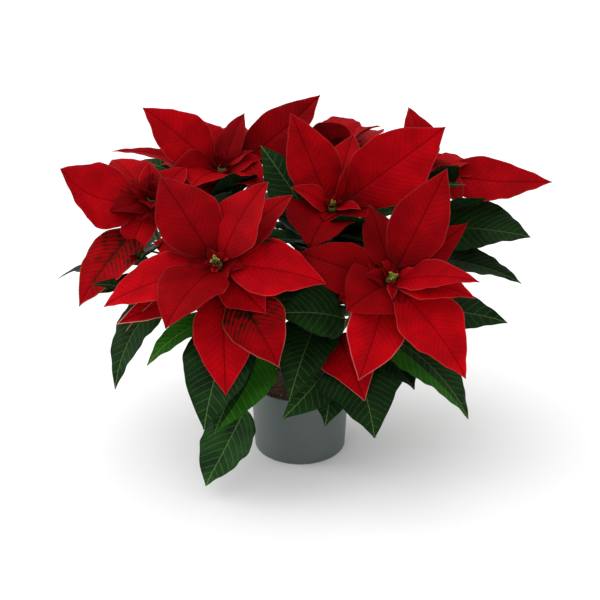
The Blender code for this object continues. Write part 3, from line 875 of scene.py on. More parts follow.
def tube(points: Sequence[Vector], radii: Sequence[float], sides: int) -> Form:
    """Works out a closed round tube.

    Args:
        points: its centre line.
        radii: its radius at each point.
        sides: how many points go round it.

    Returns:
        Its points and faces.
    """
    verts = []
    turn = (points[1] - points[0]).to_track_quat("Z", "Y")
    for i, (point, radius) in enumerate(zip(points, radii)):
        ahead = points[min(i + 1, len(points) - 1)] - points[max(i - 1, 0)]
        turn = (turn @ Vector((0, 0, 1))).rotation_difference(ahead) @ turn
        for k in range(sides):
            verts.append(point + turn @ level(math.tau * k / sides) * radius)
    return np.array(verts), shell(len(points), sides)


def revolved(
    profile: Sequence[tuple[float, float]], sides: int,
    wobble: Callable[[Vector], float] | None = None,
) -> Form:
    """Works out a solid turned round Z.

    Args:
        profile: radius and height of each ring, up its inside and down its outside, or for a
            solid without an inside, from its top down.
        sides: how many points go round it.
        wobble: how far a point moves outwards.

    Returns:
        Its points and faces, closed at both ends by a flat cap.
    """
    verts = []
    for (radius, height), k in itertools.product(profile, range(sides)):
        spot = Matrix.Rotation(math.tau * k / sides, 3, "Z") @ Vector((radius, 0, height))
        if wobble is not None:
            spot += Vector((spot.x, spot.y, 0)).normalized() * wobble(spot)
        verts.append(spot)
    first, *walls, last = shell(len(profile), sides)
    return np.array(verts), [first[::-1], *((a, d, c, b) for a, b, c, d in walls), last[::-1]]


def ball(subdivisions: int) -> Form:
    """Works out a round body of radius 1.

    Args:
        subdivisions: how fine it is.

    Returns:
        Its points and faces.
    """
    bm = bmesh.new()
    bmesh.ops.create_icosphere(bm, subdivisions=subdivisions, radius=1.0)
    points = np.array([v.co for v in bm.verts])
    faces = [tuple(v.index for v in f.verts) for f in bm.faces]
    bm.free()
    return points, faces


def placing(spot: Vector, sizes: Iterable[float], turn: float = 0.0) -> Matrix:
    """Returns the matrix that scales a form, turns it round Z and puts it on a spot."""
    return Matrix.Translation(spot) @ Matrix.Rotation(turn, 4, "Z") @ Matrix.Diagonal((*sizes, 1))


@dataclass(frozen=True)
class BladeSkin:
    """The fine surface of a bract or leaf, laid over its solid. Sizes are millimetres.

    The first fields set its rows and columns, which crowd towards its foot and its midrib, and
    the next its veins, waves and ribs, which are less on blades narrower than full_width. ragged
    is how far its margin wanders, in ragged_turns along it, and ripples are the lengths of its
    waves. second is the share of the faster one of each. It is flat from the share grown on and
    droops from tip_start on, over tip_run. round_share sets its petiole's thickness.
    Side veins stand closer on a blade shorter than even_length, in steps of least_step at the
    least. They lean forward by lean and curve by curl, with a slow shift over shift_run.
    puckered_inside and puckered_edge are where puckers rise beside the midrib and the margin.
    """

    row_step: float = 1.75
    column_step: float = 2.4
    most_rows: int = 92
    most_columns: int = 34
    last_row: float = 0.996
    row_crowding: float = 1.12
    column_crowding: float = 1.3
    half_thickness: float = 0.3
    least_half: float = 0.05
    vein_step: float = 6.6
    pucker: float = 0.42
    groove: float = 0.4
    groove_width: float = 0.9
    rib: float = 0.9
    rib_width: float = 1.1
    wave: float = 0.75
    droop: float = 2.2
    foot: float = 0.15
    lean: float = 0.62
    ragged: float = 0.022
    full_width: float = 60.0
    grown: float = 0.07
    tip_start: float = 0.82
    tip_run: float = 0.18
    round_share: float = 0.46
    soft_fold: float = 0.004
    ragged_turns: tuple[float, float] = (1.9, 4.3)
    ripples: tuple[float, float] = (4.6, 2.4)
    second: float = 0.6
    even_length: float = 120.0
    least_step: float = 0.55
    longest: float = 1.2
    curl: float = 0.35
    narrowest: float = 8.0
    shift: float = 0.25
    shift_run: float = 15.0
    one_side: float = 0.3
    puckered_inside: tuple[float, float] = (0.5, 4.0)
    puckered_edge: tuple[float, float] = (0.3, 4.5)
    thin_edge: float = 0.45
    shallow_tip: float = 0.6
    rib_end: float = 1.05
    stalk_margin: float = 12.0

    def shares(self, blade: Blade, fine: float) -> tuple[np.ndarray, np.ndarray]:
        """Works out where the surface has points.

        Args:
            blade: the bract or leaf.
            fine: a factor on the number of points.

        Returns:
            The shares along it as a column and those across it as a row.
        """
        body = blade.length * (1 - blade.stalk)
        rows = int(np.clip(body / self.row_step * fine, 12, self.most_rows))
        half = int(np.clip(blade.width / self.column_step * fine / 2, 4, self.most_columns / 2))
        petiole = np.linspace(0, blade.stalk, max(3, int(blade.length * blade.stalk / 4)))[:-1]
        crowded = np.linspace(0, self.last_row, rows) ** self.row_crowding
        along = blade.stalk + (1 - blade.stalk) * crowded
        aside = np.linspace(-1, 1, 2 * half + 1)
        across = np.sign(aside) * np.abs(aside) ** self.column_crowding
        return np.concatenate((petiole, along))[:, None], across[None, :]

    def add_to(
        self, surface: Surface, blade: Blade, growth: Growth, seed: str, fine: float = 1.0
    ) -> None:
        """Adds a blade's closed skin to a surface.

        Args:
            surface: the mesh under construction.
            blade: the blade in its place.
            growth: where it grows.
            seed: what its own small differences are drawn from.
            fine: a factor on the number of points.
        """
        draw = random.Random(seed)
        chord, sideways, upper = (np.array(v) for v in blade.axes(growth))
        length = float(np.linalg.norm(chord)) / MM
        s, a = self.shares(blade, fine)
        out = np.abs(a)
        u = np.clip((s - blade.stalk) / (1 - blade.stalk), 0, 1)
        half = np.array([[blade.half_width(x)] for x in s[:, 0]]) / MM
        size = min(1.0, blade.width / self.full_width)
        grown = smooth(0.0, self.grown, u) * (s > blade.stalk)
        turn = [draw.uniform(0, math.tau) for _ in range(6)]
        side = np.sign(a)
        slow, fast = (math.tau * turns * u for turns in self.ragged_turns)
        rough = np.sin(slow + turn[0] + side) + self.second * np.sin(fast + turn[1] - side)
        half = half * (1 + self.ragged * rough * grown * out)
        x = half * a
        off = np.abs(x)
        t = u * length * (1 - blade.stalk)

        fold = math.radians(blade.fold)
        base_wave = WAVE * np.sin(
            math.tau * (WAVE_ALONG * s + WAVE_ACROSS * a + blade.heading / 360)
        )
        lift = half * (np.sqrt(a * a + self.soft_fold) * math.sin(fold) + base_wave * a**2)
        arch = blade.arch * length * 4 * s * (1 - s)
        tip = np.clip((u - self.tip_start) / self.tip_run, 0, 1) ** 2
        height = arch + lift - self.droop * size * tip
        middle = (
            np.array(growth.root)
            + chord * s[..., None]
            + MM * sideways * (x * math.cos(fold))[..., None]
            + MM * upper * height[..., None]
        )
        normal = np.cross(np.gradient(middle, axis=1), np.gradient(middle, axis=0))
        normal /= np.linalg.norm(normal, axis=2, keepdims=True)

        long = min(self.longest, length / self.even_length)
        step = self.vein_step * (self.least_step + (1 - self.least_step) * long)
        run = t - self.lean * off - self.curl * x * x / max(self.narrowest, blade.width / 2)
        shifted = run / step + self.shift * np.sin(run / self.shift_run + turn[2])
        phase = shifted + 0.5 * (side > 0) * (off > self.one_side)
        to_edge = (1 - out) * half
        inner = smooth(*self.puckered_inside, off) * smooth(*self.puckered_edge, to_edge)
        puckers = self.pucker * size * (0.5 - 0.5 * np.cos(math.tau * phase)) * inner * grown
        slow, fast = (t / run_length for run_length in self.ripples)
        waves = self.wave * size * out**3 * grown * (1 - tip) * (
            np.sin(slow + turn[3] + side) + self.second * np.sin(fast + turn[4] - 2 * side)
        )
        relief = puckers + waves - 0.5 * self.pucker * size
        round_half = self.round_share * STALK_WIDTH / MM * np.sqrt(np.clip(1 - a * a, 0, 1))
        flat_half = self.half_thickness * (1 - self.thin_edge * out**4)
        thick = np.maximum((1 - grown) * round_half + grown * flat_half, self.least_half)
        sunk = self.groove * size * np.exp(-((x / self.groove_width) ** 2)) * grown
        sunk = sunk * (1 - self.shallow_tip * u)
        stands = self.rib * size * (self.rib_end - u) * np.exp(-((x / self.rib_width) ** 2)) * grown
        top = middle + MM * normal * (relief + thick - sunk)[..., None]
        bottom = middle + MM * normal * (relief - thick - stands)[..., None]
        # A blade's lightness: a random tone within its tissue's range, whose ends carry painted
        # light and shade. Nearness to the foot also sets the painted shade there.
        own = draw.uniform(*blade.tissue.value.lightness)
        self.close(
            surface, (top, bottom), (phase, off, to_edge + self.stalk_margin * (1 - grown)),
            (blade.tissue.green(u), own, np.exp(-u / self.foot)), blade.tissue.value.margin,
            [int(blade.tissue.lit(v)) for v in (a[0, :-1] + a[0, 1:]) / 2],
        )

    @staticmethod
    def close(
        surface: Surface, faces: tuple[np.ndarray, np.ndarray], vein: tuple[Any, ...],
        tone: tuple[Any, ...], margin: float, column_marks: list[int],
    ) -> None:
        """Joins a blade's two faces along its edge and adds them to a surface.

        Args:
            surface: the mesh under construction.
            faces: the points of the upper and the lower face, row by row.
            vein: vein phase, and the distances from the midrib and from the margin.
            tone: greenness, the blade's own number, which carries painted light and shade, nearness
                to the foot.
            margin: how strongly its margin shows.
            column_marks: the finish of each column of faces.
        """
        shape = faces[0].shape[:2]
        low = shape[0] * shape[1]
        number = np.arange(low).reshape(shape)
        quads = np.stack(
            (number[:-1, :-1], number[:-1, 1:], number[1:, 1:], number[1:, :-1]), axis=2
        ).reshape(-1, 4)
        edge = np.concatenate(
            (number[0, :-1], number[:-1, -1], number[-1, :0:-1], number[:0:-1, 0])
        )
        after = np.roll(edge, -1)
        rim = np.stack((edge + low, after + low, after, edge), axis=1)
        every = np.concatenate((quads, quads[:, ::-1] + low, rim)).tolist()
        values = []
        for group, last in ((vein, (1.0, 0.0)), (tone, (margin, margin))):
            layers = [np.broadcast_to(np.asarray(v, dtype=float), shape).ravel() for v in group]
            both = [np.stack(layers + [np.full(low, end)], axis=1) for end in last]
            values.append(np.concatenate(both))
        points = np.concatenate([f.reshape(-1, 3) for f in faces])
        marks = column_marks * 2 * (shape[0] - 1) + [column_marks[0]] * len(rim)
        surface.add(points, every, marks, *values)


class BladeNodes(Nodes):
    """The nodes that bract and leaf finishes share: what their mesh says, and their patterns."""

    def __init__(self, finish: "BladeFinish") -> None:
        """Adds them.

        Args:
            finish: the finish that they serve.
        """
        super().__init__(finish.name)
        vein = self.add("Attribute", attribute_name="vein")
        tone = self.add("Attribute", attribute_name="tone")
        phase, self.from_rib, self.from_margin = self.add("SeparateColor", vein).outputs
        # own carries each blade's lightness with painted light and shade; foot, nearness to the
        # foot, also sets the painted shade there.
        self.green, self.own, self.foot = self.add("SeparateColor", tone).outputs
        self.upper = vein.outputs["Alpha"]
        self.margin = tone.outputs["Alpha"]
        self.place = self.add("TexCoord").outputs["Object"]
        self.fold = self.add("Math", phase, 0.5, operation="PINGPONG")
        side = self.add("MapRange", self.fold, *finish.side_band)
        inside = self.add("MapRange", self.from_margin, *finish.inset)
        self.side = self.add("Math", side, inside, operation="MULTIPLY")
        self.rib = self.add("MapRange", self.from_rib, *finish.rib_band)
        self.line = self.add("Math", self.side, self.rib, operation="MAXIMUM")
        self.patches = self.add("TexNoise", Vector=self.place, Scale=1 / finish.patch, Detail=3.0)
        self.cells = self.add("TexNoise", Vector=self.place, Scale=1 / finish.cell, Detail=2.0)
        self.net = self.add(
            "TexVoronoi", Vector=self.place, Scale=1 / finish.network, feature="DISTANCE_TO_EDGE"
        )
        spread = self.add("MapRange", self.patches, *finish.patch_band)
        self.ground = self.add("MixRGB", spread, linear(finish.deep), linear(finish.lit))


@dataclass(frozen=True)
class BladeFinish:
    """What bract and leaf finishes share: living tissue with sunk veins that lets light through.

    side_band gives a side vein from its phase, rib_band the midrib from the distance in mm, and
    net_band the fine relief from a cell's edge. Side veins fade out over the inset, in mm off the
    margin, below is the share of the underside's colour, tone_and_painted_light_band gives a
    blade's lightness, a random tone with painted light and shade, painted_foot_shade is what is
    left of it at the foot, as painted shade near the hub, and bump is the relief's strength and
    depth. patch_band, petiole_band and painted_foot_band are where the two colours of the ground,
    the petiole's colour and the foot's painted shade set in.
    """

    name: str
    lit: str
    deep: str
    vein: str
    under: str
    petiole: str
    glow: str
    through: float
    roughness: float
    ior: float
    patch: float
    network: float
    cell: float
    side_band: Band
    rib_band: Band
    inset: tuple[float, float]
    net_band: Band
    grain: float
    below: float
    tone_and_painted_light_band: Band
    painted_foot_shade: float
    bump: tuple[float, float]
    specular: float = 0.03
    patch_band: tuple[float, float] = (0.35, 0.65)
    petiole_band: tuple[float, float] = (0.65, 0.97)
    painted_foot_band: tuple[float, float] = (0.05, 0.6)

    def paint(self, n: BladeNodes) -> bpy.types.Node:
        """Returns the upper side's colour."""
        return n.ground

    def gloss(self, n: BladeNodes) -> dict[str, Any]:
        """Returns what the shader's inputs for its shine take."""
        return {"Roughness": self.roughness}

    def shining(self, n: BladeNodes) -> Any:
        """Returns the colour of the light that comes through."""
        return linear(self.glow)

    def build(self) -> bpy.types.Material:
        """Makes the material.

        Returns:
            The material.
        """
        n = BladeNodes(self)
        under = n.add("Math", n.upper, -self.below, self.below, operation="MULTIPLY_ADD")
        faced = n.add("MixRGB", under, self.paint(n), linear(self.under))
        petiole = n.add("MapRange", n.foot, *self.petiole_band)
        stalked = n.add("MixRGB", petiole, faced, linear(self.petiole))
        # Each blade's lightness carries painted light and shade, and painted shade darkens its foot
        # near the hub.
        own = n.add("MapRange", n.own, *self.tone_and_painted_light_band)
        painted_shade_at_foot = n.add("MapRange", n.foot, *self.painted_foot_band, 1.0, self.painted_foot_shade)
        value = n.add("Math", own, painted_shade_at_foot, operation="MULTIPLY")
        colour = n.add("HueSaturation", Value=value, Color=stalked)
        net = n.add("MapRange", n.net, *self.net_band)
        grain = n.add("Math", n.cells, self.grain, net, operation="MULTIPLY_ADD")
        height = n.add("Math", grain, n.line, operation="SUBTRACT")
        bump = n.add("Bump", *self.bump, Height=height)
        skin = n.add(
            "BsdfPrincipled", Base_Color=colour, Normal=bump, IOR=self.ior,
            Specular_IOR_Level=self.specular, **self.gloss(n),
        )
        glow = n.add("BsdfTranslucent", self.shining(n), Normal=bump)
        n.add("OutputMaterial", n.add("MixShader", self.through, skin, glow))
        return n.material


@dataclass(frozen=True)
class BractEpidermis(BladeFinish):
    """A bract's finish: dark along its veins, green in blotches that end last beside them.

    line_share is how dark the veins are. side_reach, rib_reach and reach_share set how green
    stays beside the veins, contrast and blotch_band how its blotches stand out, and rim_band
    and tan_band where the margin is pale and where it is tan.
    """

    green: str = "#10140b"
    margin: str = "#d89088"
    tan: str = "#96783c"
    sheen: float = 0.08
    sheen_roughness: float = 0.45
    sheen_tint: str = "#ff0808"
    spot: float = 7 * MM
    line_share: float = 0.62
    side_reach: Band = (0.04, 0.3, 1.0, 0.0)
    rib_reach: Band = (0.8, 5.0, 1.0, 0.0)
    reach_share: float = 0.7
    contrast: tuple[float, float] = (2.6, -1.0)
    blotch_band: Band = (0.12, 0.8, 0.0, 0.96)
    rim_band: Band = (0.25, 1.3, 1.0, 0.0)
    tan_band: tuple[float, float] = (0.0, 0.3)

    def paint(self, n: BladeNodes) -> bpy.types.Node:
        """Works out the upper side's colour: veins, green blotches and a pale or tan margin.

        Args:
            n: the finish's nodes.

        Returns:
            The colour.
        """
        lined = n.add("Math", n.line, self.line_share, operation="MULTIPLY")
        veined = n.add("MixRGB", lined, n.ground, linear(self.vein))
        by_side = n.add("MapRange", n.fold, *self.side_reach)
        by_rib = n.add("MapRange", n.from_rib, *self.rib_reach)
        by_vein = n.add("Math", by_side, by_rib, operation="MAXIMUM")
        spots = n.add("TexNoise", Vector=n.place, Scale=1 / self.spot, Detail=2.0)
        spread = n.add("Math", spots, *self.contrast, operation="MULTIPLY_ADD")
        blotch = n.add("Math", by_vein, self.reach_share, spread, operation="MULTIPLY_ADD")
        turned = n.add("Math", n.green, blotch, operation="MULTIPLY")
        still = n.add("MapRange", turned, *self.blotch_band)
        mottled = n.add("MixRGB", still, veined, linear(self.green))
        rim = n.add("MapRange", n.from_margin, *self.rim_band)
        rimmed = n.add("Math", rim, n.margin, operation="MULTIPLY")
        browned = n.add("MapRange", n.green, *self.tan_band)
        edge = n.add("MixRGB", browned, linear(self.margin), linear(self.tan))
        return n.add("MixRGB", rimmed, mottled, edge)

    def gloss(self, n: BladeNodes) -> dict[str, Any]:
        """Returns what the shader's inputs for its velvet shine take."""
        sheen = {"Sheen_Weight": self.sheen, "Sheen_Roughness": self.sheen_roughness}
        return {"Roughness": self.roughness, "Sheen_Tint": linear(self.sheen_tint)} | sheen


@dataclass(frozen=True)
class LeafCuticle(BladeFinish):
    """A leaf's finish: pale along its veins, smoother and glossier than a bract.

    net_shade and side_share set how pale the fine net and the side veins are, and duller is how
    far its roughness lies from the given one at the shiniest and at the dullest.
    """

    rib: str = "#6c8448"
    net_shade: Band = (0.0, 0.12, 0.15, 0.0)
    side_share: float = 0.7
    duller: tuple[float, float] = (-0.08, 0.1)

    def paint(self, n: BladeNodes) -> bpy.types.Node:
        """Works out the upper side's colour: a fine net, side veins and the midrib.

        Args:
            n: the finish's nodes.

        Returns:
            The colour.
        """
        fine = n.add("MapRange", n.net, *self.net_shade)
        netted = n.add("MixRGB", fine, n.ground, linear(self.vein))
        lined = n.add("Math", n.side, self.side_share, operation="MULTIPLY")
        veined = n.add("MixRGB", lined, netted, linear(self.vein))
        return n.add("MixRGB", n.rib, veined, linear(self.rib))

    def gloss(self, n: BladeNodes) -> dict[str, Any]:
        """Returns what the shader's inputs for its waxy shine take, duller in patches."""
        ends = [self.roughness + more for more in self.duller]
        return {"Roughness": n.add("MapRange", n.patches, 0.0, 1.0, *ends)}

    def shining(self, n: BladeNodes) -> bpy.types.Node:
        """Returns the colour of the light that comes through, paler along the veins."""
        return n.add("MixRGB", n.side, linear(self.glow), linear(self.rib))


@dataclass(frozen=True)
class Mottled:
    """A finish of two colours in grains of a real size, with a fine relief.

    band is where the light colour sets in, strength is how much the relief shows, and duller is
    how far its roughness lies from the given one at the most.
    """

    name: str
    light: str
    dark: str
    grain: float
    relief: float
    roughness: float
    ior: float = 1.5
    coarse: float = 8 * MM
    band: tuple[float, float] = (0.12, 0.38)
    strength: float = 0.6
    duller: float = 0.06

    def build(self) -> bpy.types.Material:
        """Makes the material from a coarse and a fine noise.

        Returns:
            The material.
        """
        n = Nodes(self.name)
        place = n.add("TexCoord").outputs["Object"]
        fine = n.add("TexNoise", Vector=place, Scale=1 / self.grain, Detail=4.0, Roughness=0.6)
        wide = n.add("TexNoise", Vector=place, Scale=1 / self.coarse, Detail=2.0)
        share = n.add("Math", fine, wide, operation="MULTIPLY")
        spread = n.add("MapRange", share, *self.band)
        ends = (self.roughness - self.duller, self.roughness + self.duller)
        skin = n.add(
            "BsdfPrincipled", n.add("MixRGB", spread, linear(self.dark), linear(self.light)),
            Roughness=n.add("MapRange", wide, 0.0, 1.0, *ends), IOR=self.ior,
            Normal=n.add("Bump", self.strength, self.relief, Height=fine),
        )
        n.add("OutputMaterial", skin)
        return n.material


# Red bract: grown, with a velvety epidermis under a thin wax. Its red pigment gives the eye a deep
# even red with dark veins. Its cells and fine net are drawn coarser than they are, to show.
# Each bract's lightness carries painted light and shade, and its foot is darkened with painted
# shade near the hub.
BRACT_EPIDERMIS = BractEpidermis(
    "bract_epidermis_velvety", lit="#a8030d", deep="#8c020a", vein="#4c0105", under="#84101c",
    petiole="#5c1a14", glow="#b40208", through=0.14, roughness=0.56, ior=1.42, patch=26 * MM,
    network=2.4 * MM, cell=0.7 * MM, side_band=(0.02, 0.11, 0.5, 0.0),
    rib_band=(0.35, 1.1, 1.0, 0.0), inset=(0.5, 3.0), net_band=(0.0, 0.25, 0.0, 0.3), grain=0.18,
    below=0.55, tone_and_painted_light_band=(0.0, 1.0, 0.5, 1.4), painted_foot_shade=0.45, bump=(0.55, 0.45 * MM),
)
# Green leaf: grown, under a smooth wax cuticle. Chlorophyll and wax give the eye a dark green
# with a cool soft gloss. Its cells and fine net are drawn coarser than they are, to show.
# Each leaf's lightness carries painted light and shade; its foot is not darkened.
LEAF_CUTICLE = LeafCuticle(
    "leaf_cuticle_waxy", lit="#193814", deep="#0e2410", vein="#48663a", under="#22391f",
    petiole="#5c3c24", glow="#2c6c12", through=0.1, roughness=0.42, ior=1.46, patch=22 * MM,
    network=2.2 * MM, cell=0.8 * MM, side_band=(0.02, 0.085, 0.75, 0.0),
    rib_band=(0.15, 0.65, 0.8, 0.0), inset=(0.5, 4.0), net_band=(0.0, 0.12, -0.3, 0.0), grain=0.15,
    below=0.8, tone_and_painted_light_band=(0.0, 1.0, 0.42, 1.4), painted_foot_shade=1.0, bump=(0.5, 0.4 * MM),
)
# The same leaf against the light, which shines through as a bright yellow green: a larger share
# lets the light through, and its brighter colours are painted light.
BACKLIT_CUTICLE = replace(
    LEAF_CUTICLE, name="leaf_cuticle_backlit", lit="#2c6b1a", deep="#1f5418", vein="#6f9a3c",
    rib="#9ab058", glow="#5aa424", through=0.4,
)
# Green stem rind: grown, smooth and faintly ribbed, with a dull wax shine.
RIND = Mottled("stem_rind_green", "#5c7434", "#3a5426", 1.5 * MM, 0.15 * MM, 0.5, 1.45)
# Young cork bark: grown, grey brown and rough, without any shine.
CORK = Mottled("trunk_bark_cork", "#8a7a5c", "#4c3f2c", 1.8 * MM, 0.5 * MM, 0.88)
# Cyathium wall: grown, smooth and bright green with a waxy shine.
CUP_WALL = Mottled("cyathium_wall_waxy", "#648c2a", "#2f5414", 1.2 * MM, 0.08 * MM, 0.34, 1.46)
# Nectar gland: wet and yellow, so it catches small highlights.
NECTAR = Mottled("nectar_gland_wet", "#c8b43a", "#9a8418", 0.8 * MM, 0.05 * MM, 0.18, 1.38)
# Stamen stalks and cup lobes: thin red tissue.
STAMEN = Mottled("stamen_red_tissue", "#b3242a", "#7a1018", 0.8 * MM, 0.05 * MM, 0.5, 1.42)
# Pollen: a dry yellow powder, its grains drawn far coarser than they are.
POLLEN = Mottled("pollen_dry", "#c9b84a", "#a08a24", 0.4 * MM, 0.1 * MM, 0.9)
# Potting compost: milled peat with fibres, dark where it is moist and without any shine.
PEAT = Mottled("compost_milled_peat", "#5a3d26", "#22150c", 1.6 * MM, 0.7 * MM, 0.95)
# Perlite: expanded volcanic glass, dull white crumbs with an open surface.
PERLITE = Mottled("perlite_expanded", "#e4e0d6", "#aaa597", 0.9 * MM, 0.3 * MM, 0.85)
# Composted bark: torn chips, red brown along the fibre.
CHIPS = Mottled("bark_chips_composted", "#7a4c2a", "#3a2212", 1.4 * MM, 0.5 * MM, 0.9)
# Polypropylene: injection moulded in a matte tool, which gives a soft broad shine. The tool's
# grit of under 0.1 mm is drawn coarser, to show.
POT_PLASTIC = Mottled(
    "polypropylene_moulded_matte", "#4e5754", "#48504d", 0.35 * MM, 0.03 * MM, 0.46, 1.49, 60 * MM
)


@dataclass(frozen=True)
class SmallRing:
    """A ring of small bracts round a hub, in millimetres and in degrees off the hub.

    Each blade's place is off by up to aside of the step between two and by up to tilt, and its
    size is drawn from sizes.
    """

    count: int
    rise: float
    length: float
    width: float
    below: float
    aside: float = 0.2
    tilt: float = 7.0
    sizes: tuple[float, float] = (0.8, 1.15)
    fold: float = 14.0

    def add_to(self, surface: Surface, skin: BladeSkin, key: str, head: Head) -> None:
        """Adds the ring's blades to a surface, each a little different.

        Args:
            surface: the mesh under construction.
            skin: how a blade's fine surface is made.
            key: the head's name.
            head: the head that the ring grows on.
        """
        draw = random.Random(f"{key} {self.count} {self.length}")
        turn = head.axis().to_track_quat("Z", "Y")
        start = draw.uniform(0, 360)
        for k in range(self.count):
            heading = start + 360 * (k + draw.uniform(-self.aside, self.aside)) / self.count
            rise = self.rise + draw.uniform(-self.tilt, self.tilt)
            reach = turn @ direction(heading, rise)
            grown = draw.uniform(*self.sizes)
            # Small bracts take the painted shade tissue: darker, for the shade round the hub.
            blade = Blade(
                math.degrees(math.atan2(reach.y, reach.x)), math.degrees(math.asin(reach.z)),
                self.length * grown, self.width * grown, Tissue.PAINTED_SHADE, fold=self.fold,
                at=self.below,
            )
            seed = f"{key} small {self.length} {k}"
            skin.add_to(surface, blade, head.bract_growth(key, blade), seed, NEAR_FINE)


# The small bracts of an open head stand round its cyathia, and those of a young one close over.
OPEN_RINGS = (SmallRing(4, 34, 16, 11, 3), SmallRing(7, 2, 36, 25, 11))
FLAT_RINGS = (SmallRing(3, 60, 20, 17, 2.5), SmallRing(4, 12, 28, 22, 9))
YOUNG_RINGS = (
    SmallRing(3, 66, 22, 19, 2.5), SmallRing(4, 28, 34, 28, 6), SmallRing(6, -4, 44, 34, 11)
)
RINGS = {
    "back_left": FLAT_RINGS, "back_right": FLAT_RINGS, "far_left": YOUNG_RINGS, "back": YOUNG_RINGS
}
# Heads whose cyathia are still small.
YOUNG = (*RINGS, "centre")
# Young bracts and leaves that fill the gaps between the large ones, by head; the leaves among them
# are darkened with painted shade.
YOUNG_BRACTS: dict[str, tuple[Blade, ...]] = {
    "front_left": (
        Blade(-159, -26, 124, 36, Tissue.EDGED, roll=-30, stalk=0.1, fold=5.0, at=28.0),
    ),
    "back_left": (
        Blade(-114, -2, 72, 68, fold=4.0, at=6.0), Blade(-30, -4, 48, 40, at=9.0),
        Blade(12, 10, 50, 42, at=7.0),
    ),
    "back_right": (Blade(-100, -18, 50, 40, at=13.0), Blade(8, 2, 56, 46, fold=4.0, at=8.0)),
}
YOUNG_LEAVES: dict[str, tuple[Blade, ...]] = {
    "front_left": (young_leaf(0.70, 1, 12, 92, 44), young_leaf(0.80, -166, 12, 160, 46)),
    "front_right": (young_leaf(0.60, -58, -16, 110, 54),),
    "far_left": (young_leaf(0.85, -98, 5, 80, 44), young_leaf(0.85, -94, 10, 98, 48)),
    "back_right": (young_leaf(0.90, -54, 44, 99, 40), young_leaf(0.80, -47, 28, 132, 44)),
    "centre": (
        young_leaf(0.70, -179, 35, 95, 44), young_leaf(0.60, -165, 52, 108, 40),
        young_leaf(0.75, 171, 39, 130, 44), young_leaf(0.40, -70, 28, 140, 44),
        young_leaf(0.90, -71, 32, 108, 44),
        leaf(0.85, -69, 22, 104, 50, Tissue.PAINTED_SHADE_LEAF, arch=0.03),
        leaf(0.85, -128, 19, 148, 50, Tissue.PAINTED_SHADE_LEAF, arch=0.03),
    ),
    "back_left": (young_leaf(0.90, -52, 41, 85, 40), young_leaf(0.85, -81, 44, 110, 44)),
}


@dataclass
class BractWhorl:
    """A head's hub with its bracts, in the place of the solid.

    hub gives how far below the head's top each ring of the hub lies, and its radius.
    """

    key: str
    head: Head
    placed: list[Placed]
    skin: BladeSkin = BladeSkin()
    hub_sides: int = 20
    hub: tuple[tuple[float, float], ...] = (
        (HUB_LENGTH, STEM_RADIUS), (0.8 * HUB_LENGTH, STEM_RADIUS),
        (0.55 * HUB_LENGTH, 1.05 * STEM_RADIUS), (0.4 * HUB_LENGTH, 0.7 * HUB_RADIUS),
        (HUB_SWELL, 0.9 * HUB_RADIUS), (4 * MM, HUB_RADIUS), (1 * MM + GAP, 0.98 * HUB_RADIUS),
        (GAP, 0.8 * HUB_RADIUS),
    )

    def build(self, red: bpy.types.Material, rind: bpy.types.Material) -> None:
        """Makes the whorl as one piece, with the small bracts between the feet of the large.

        Args:
            red: the bracts' finish.
            rind: the hub's finish.
        """
        surface = Surface()
        line = [self.head.tip() - self.head.axis() * below for below, _ in self.hub]
        surface.add(*tube(line, [radius for _, radius in self.hub], self.hub_sides), mark=1)
        for i, one in enumerate(self.placed):
            self.skin.add_to(surface, one.blade, one.growth, f"{self.key} bract {i}")
        for small in RINGS.get(self.key, OPEN_RINGS):
            small.add_to(surface, self.skin, self.key, self.head)
        for i, blade in enumerate(YOUNG_BRACTS.get(self.key, ())):
            growth = self.head.bract_growth(self.key, blade)
            self.skin.add_to(surface, blade, growth, f"{self.key} young bract {i}")
        surface.build(f"bract_whorl_{self.key}", (red, rind), f"bracts_{self.key}", "bract")


@dataclass
class LeafyStem:
    """A forked stem with its leaves, in the place of the solid. It swells where a leaf joins."""

    key: str
    head: Head
    placed: list[Placed]
    skin: BladeSkin = BladeSkin(pucker=0.5, wave=0.85, vein_step=8.6, groove=0.45, rib=1.1)
    sides: int = 18
    rows: int = 64
    thin: float = 0.95
    joint_swell: float = 0.7 * MM
    joint_reach: float = 0.025

    def build(
        self, green: bpy.types.Material, bright: bpy.types.Material, rind: bpy.types.Material
    ) -> None:
        """Makes the stem with its leaves as one piece.

        Args:
            green: the leaves' finish.
            bright: the finish of a leaf that lets the light through, its brighter colours painted
                light.
            rind: the stem's finish.
        """
        surface = Surface()
        shares = [i / (self.rows - 1) for i in range(self.rows)]
        line = [self.head.fork(0)] + [self.head.stem_point(s) for s in shares]
        radii = [STEM_RADIUS]
        for share in shares:
            offs = [(share - one.blade.at) / self.joint_reach for one in self.placed]
            near = max([math.exp(-(off**2)) for off in offs] + [0])
            radii.append(self.thin * STEM_RADIUS + self.joint_swell * near)
        surface.add(*tube(line, radii, self.sides), mark=2)
        for i, one in enumerate(self.placed):
            fine = NEAR_FINE if one.blade.strips > 2 else FAR_FINE
            self.skin.add_to(surface, one.blade, one.growth, f"{self.key} leaf {i}", fine)
        for i, blade in enumerate(YOUNG_LEAVES.get(self.key, ())):
            growth = self.head.leaf_growth(self.key, blade)
            self.skin.add_to(surface, blade, growth, f"{self.key} young leaf {i}", FAR_FINE)
        finishes = (green, bright, rind)
        surface.build(f"leafy_stem_{self.key}", finishes, f"stem_{self.key}", "leaf")


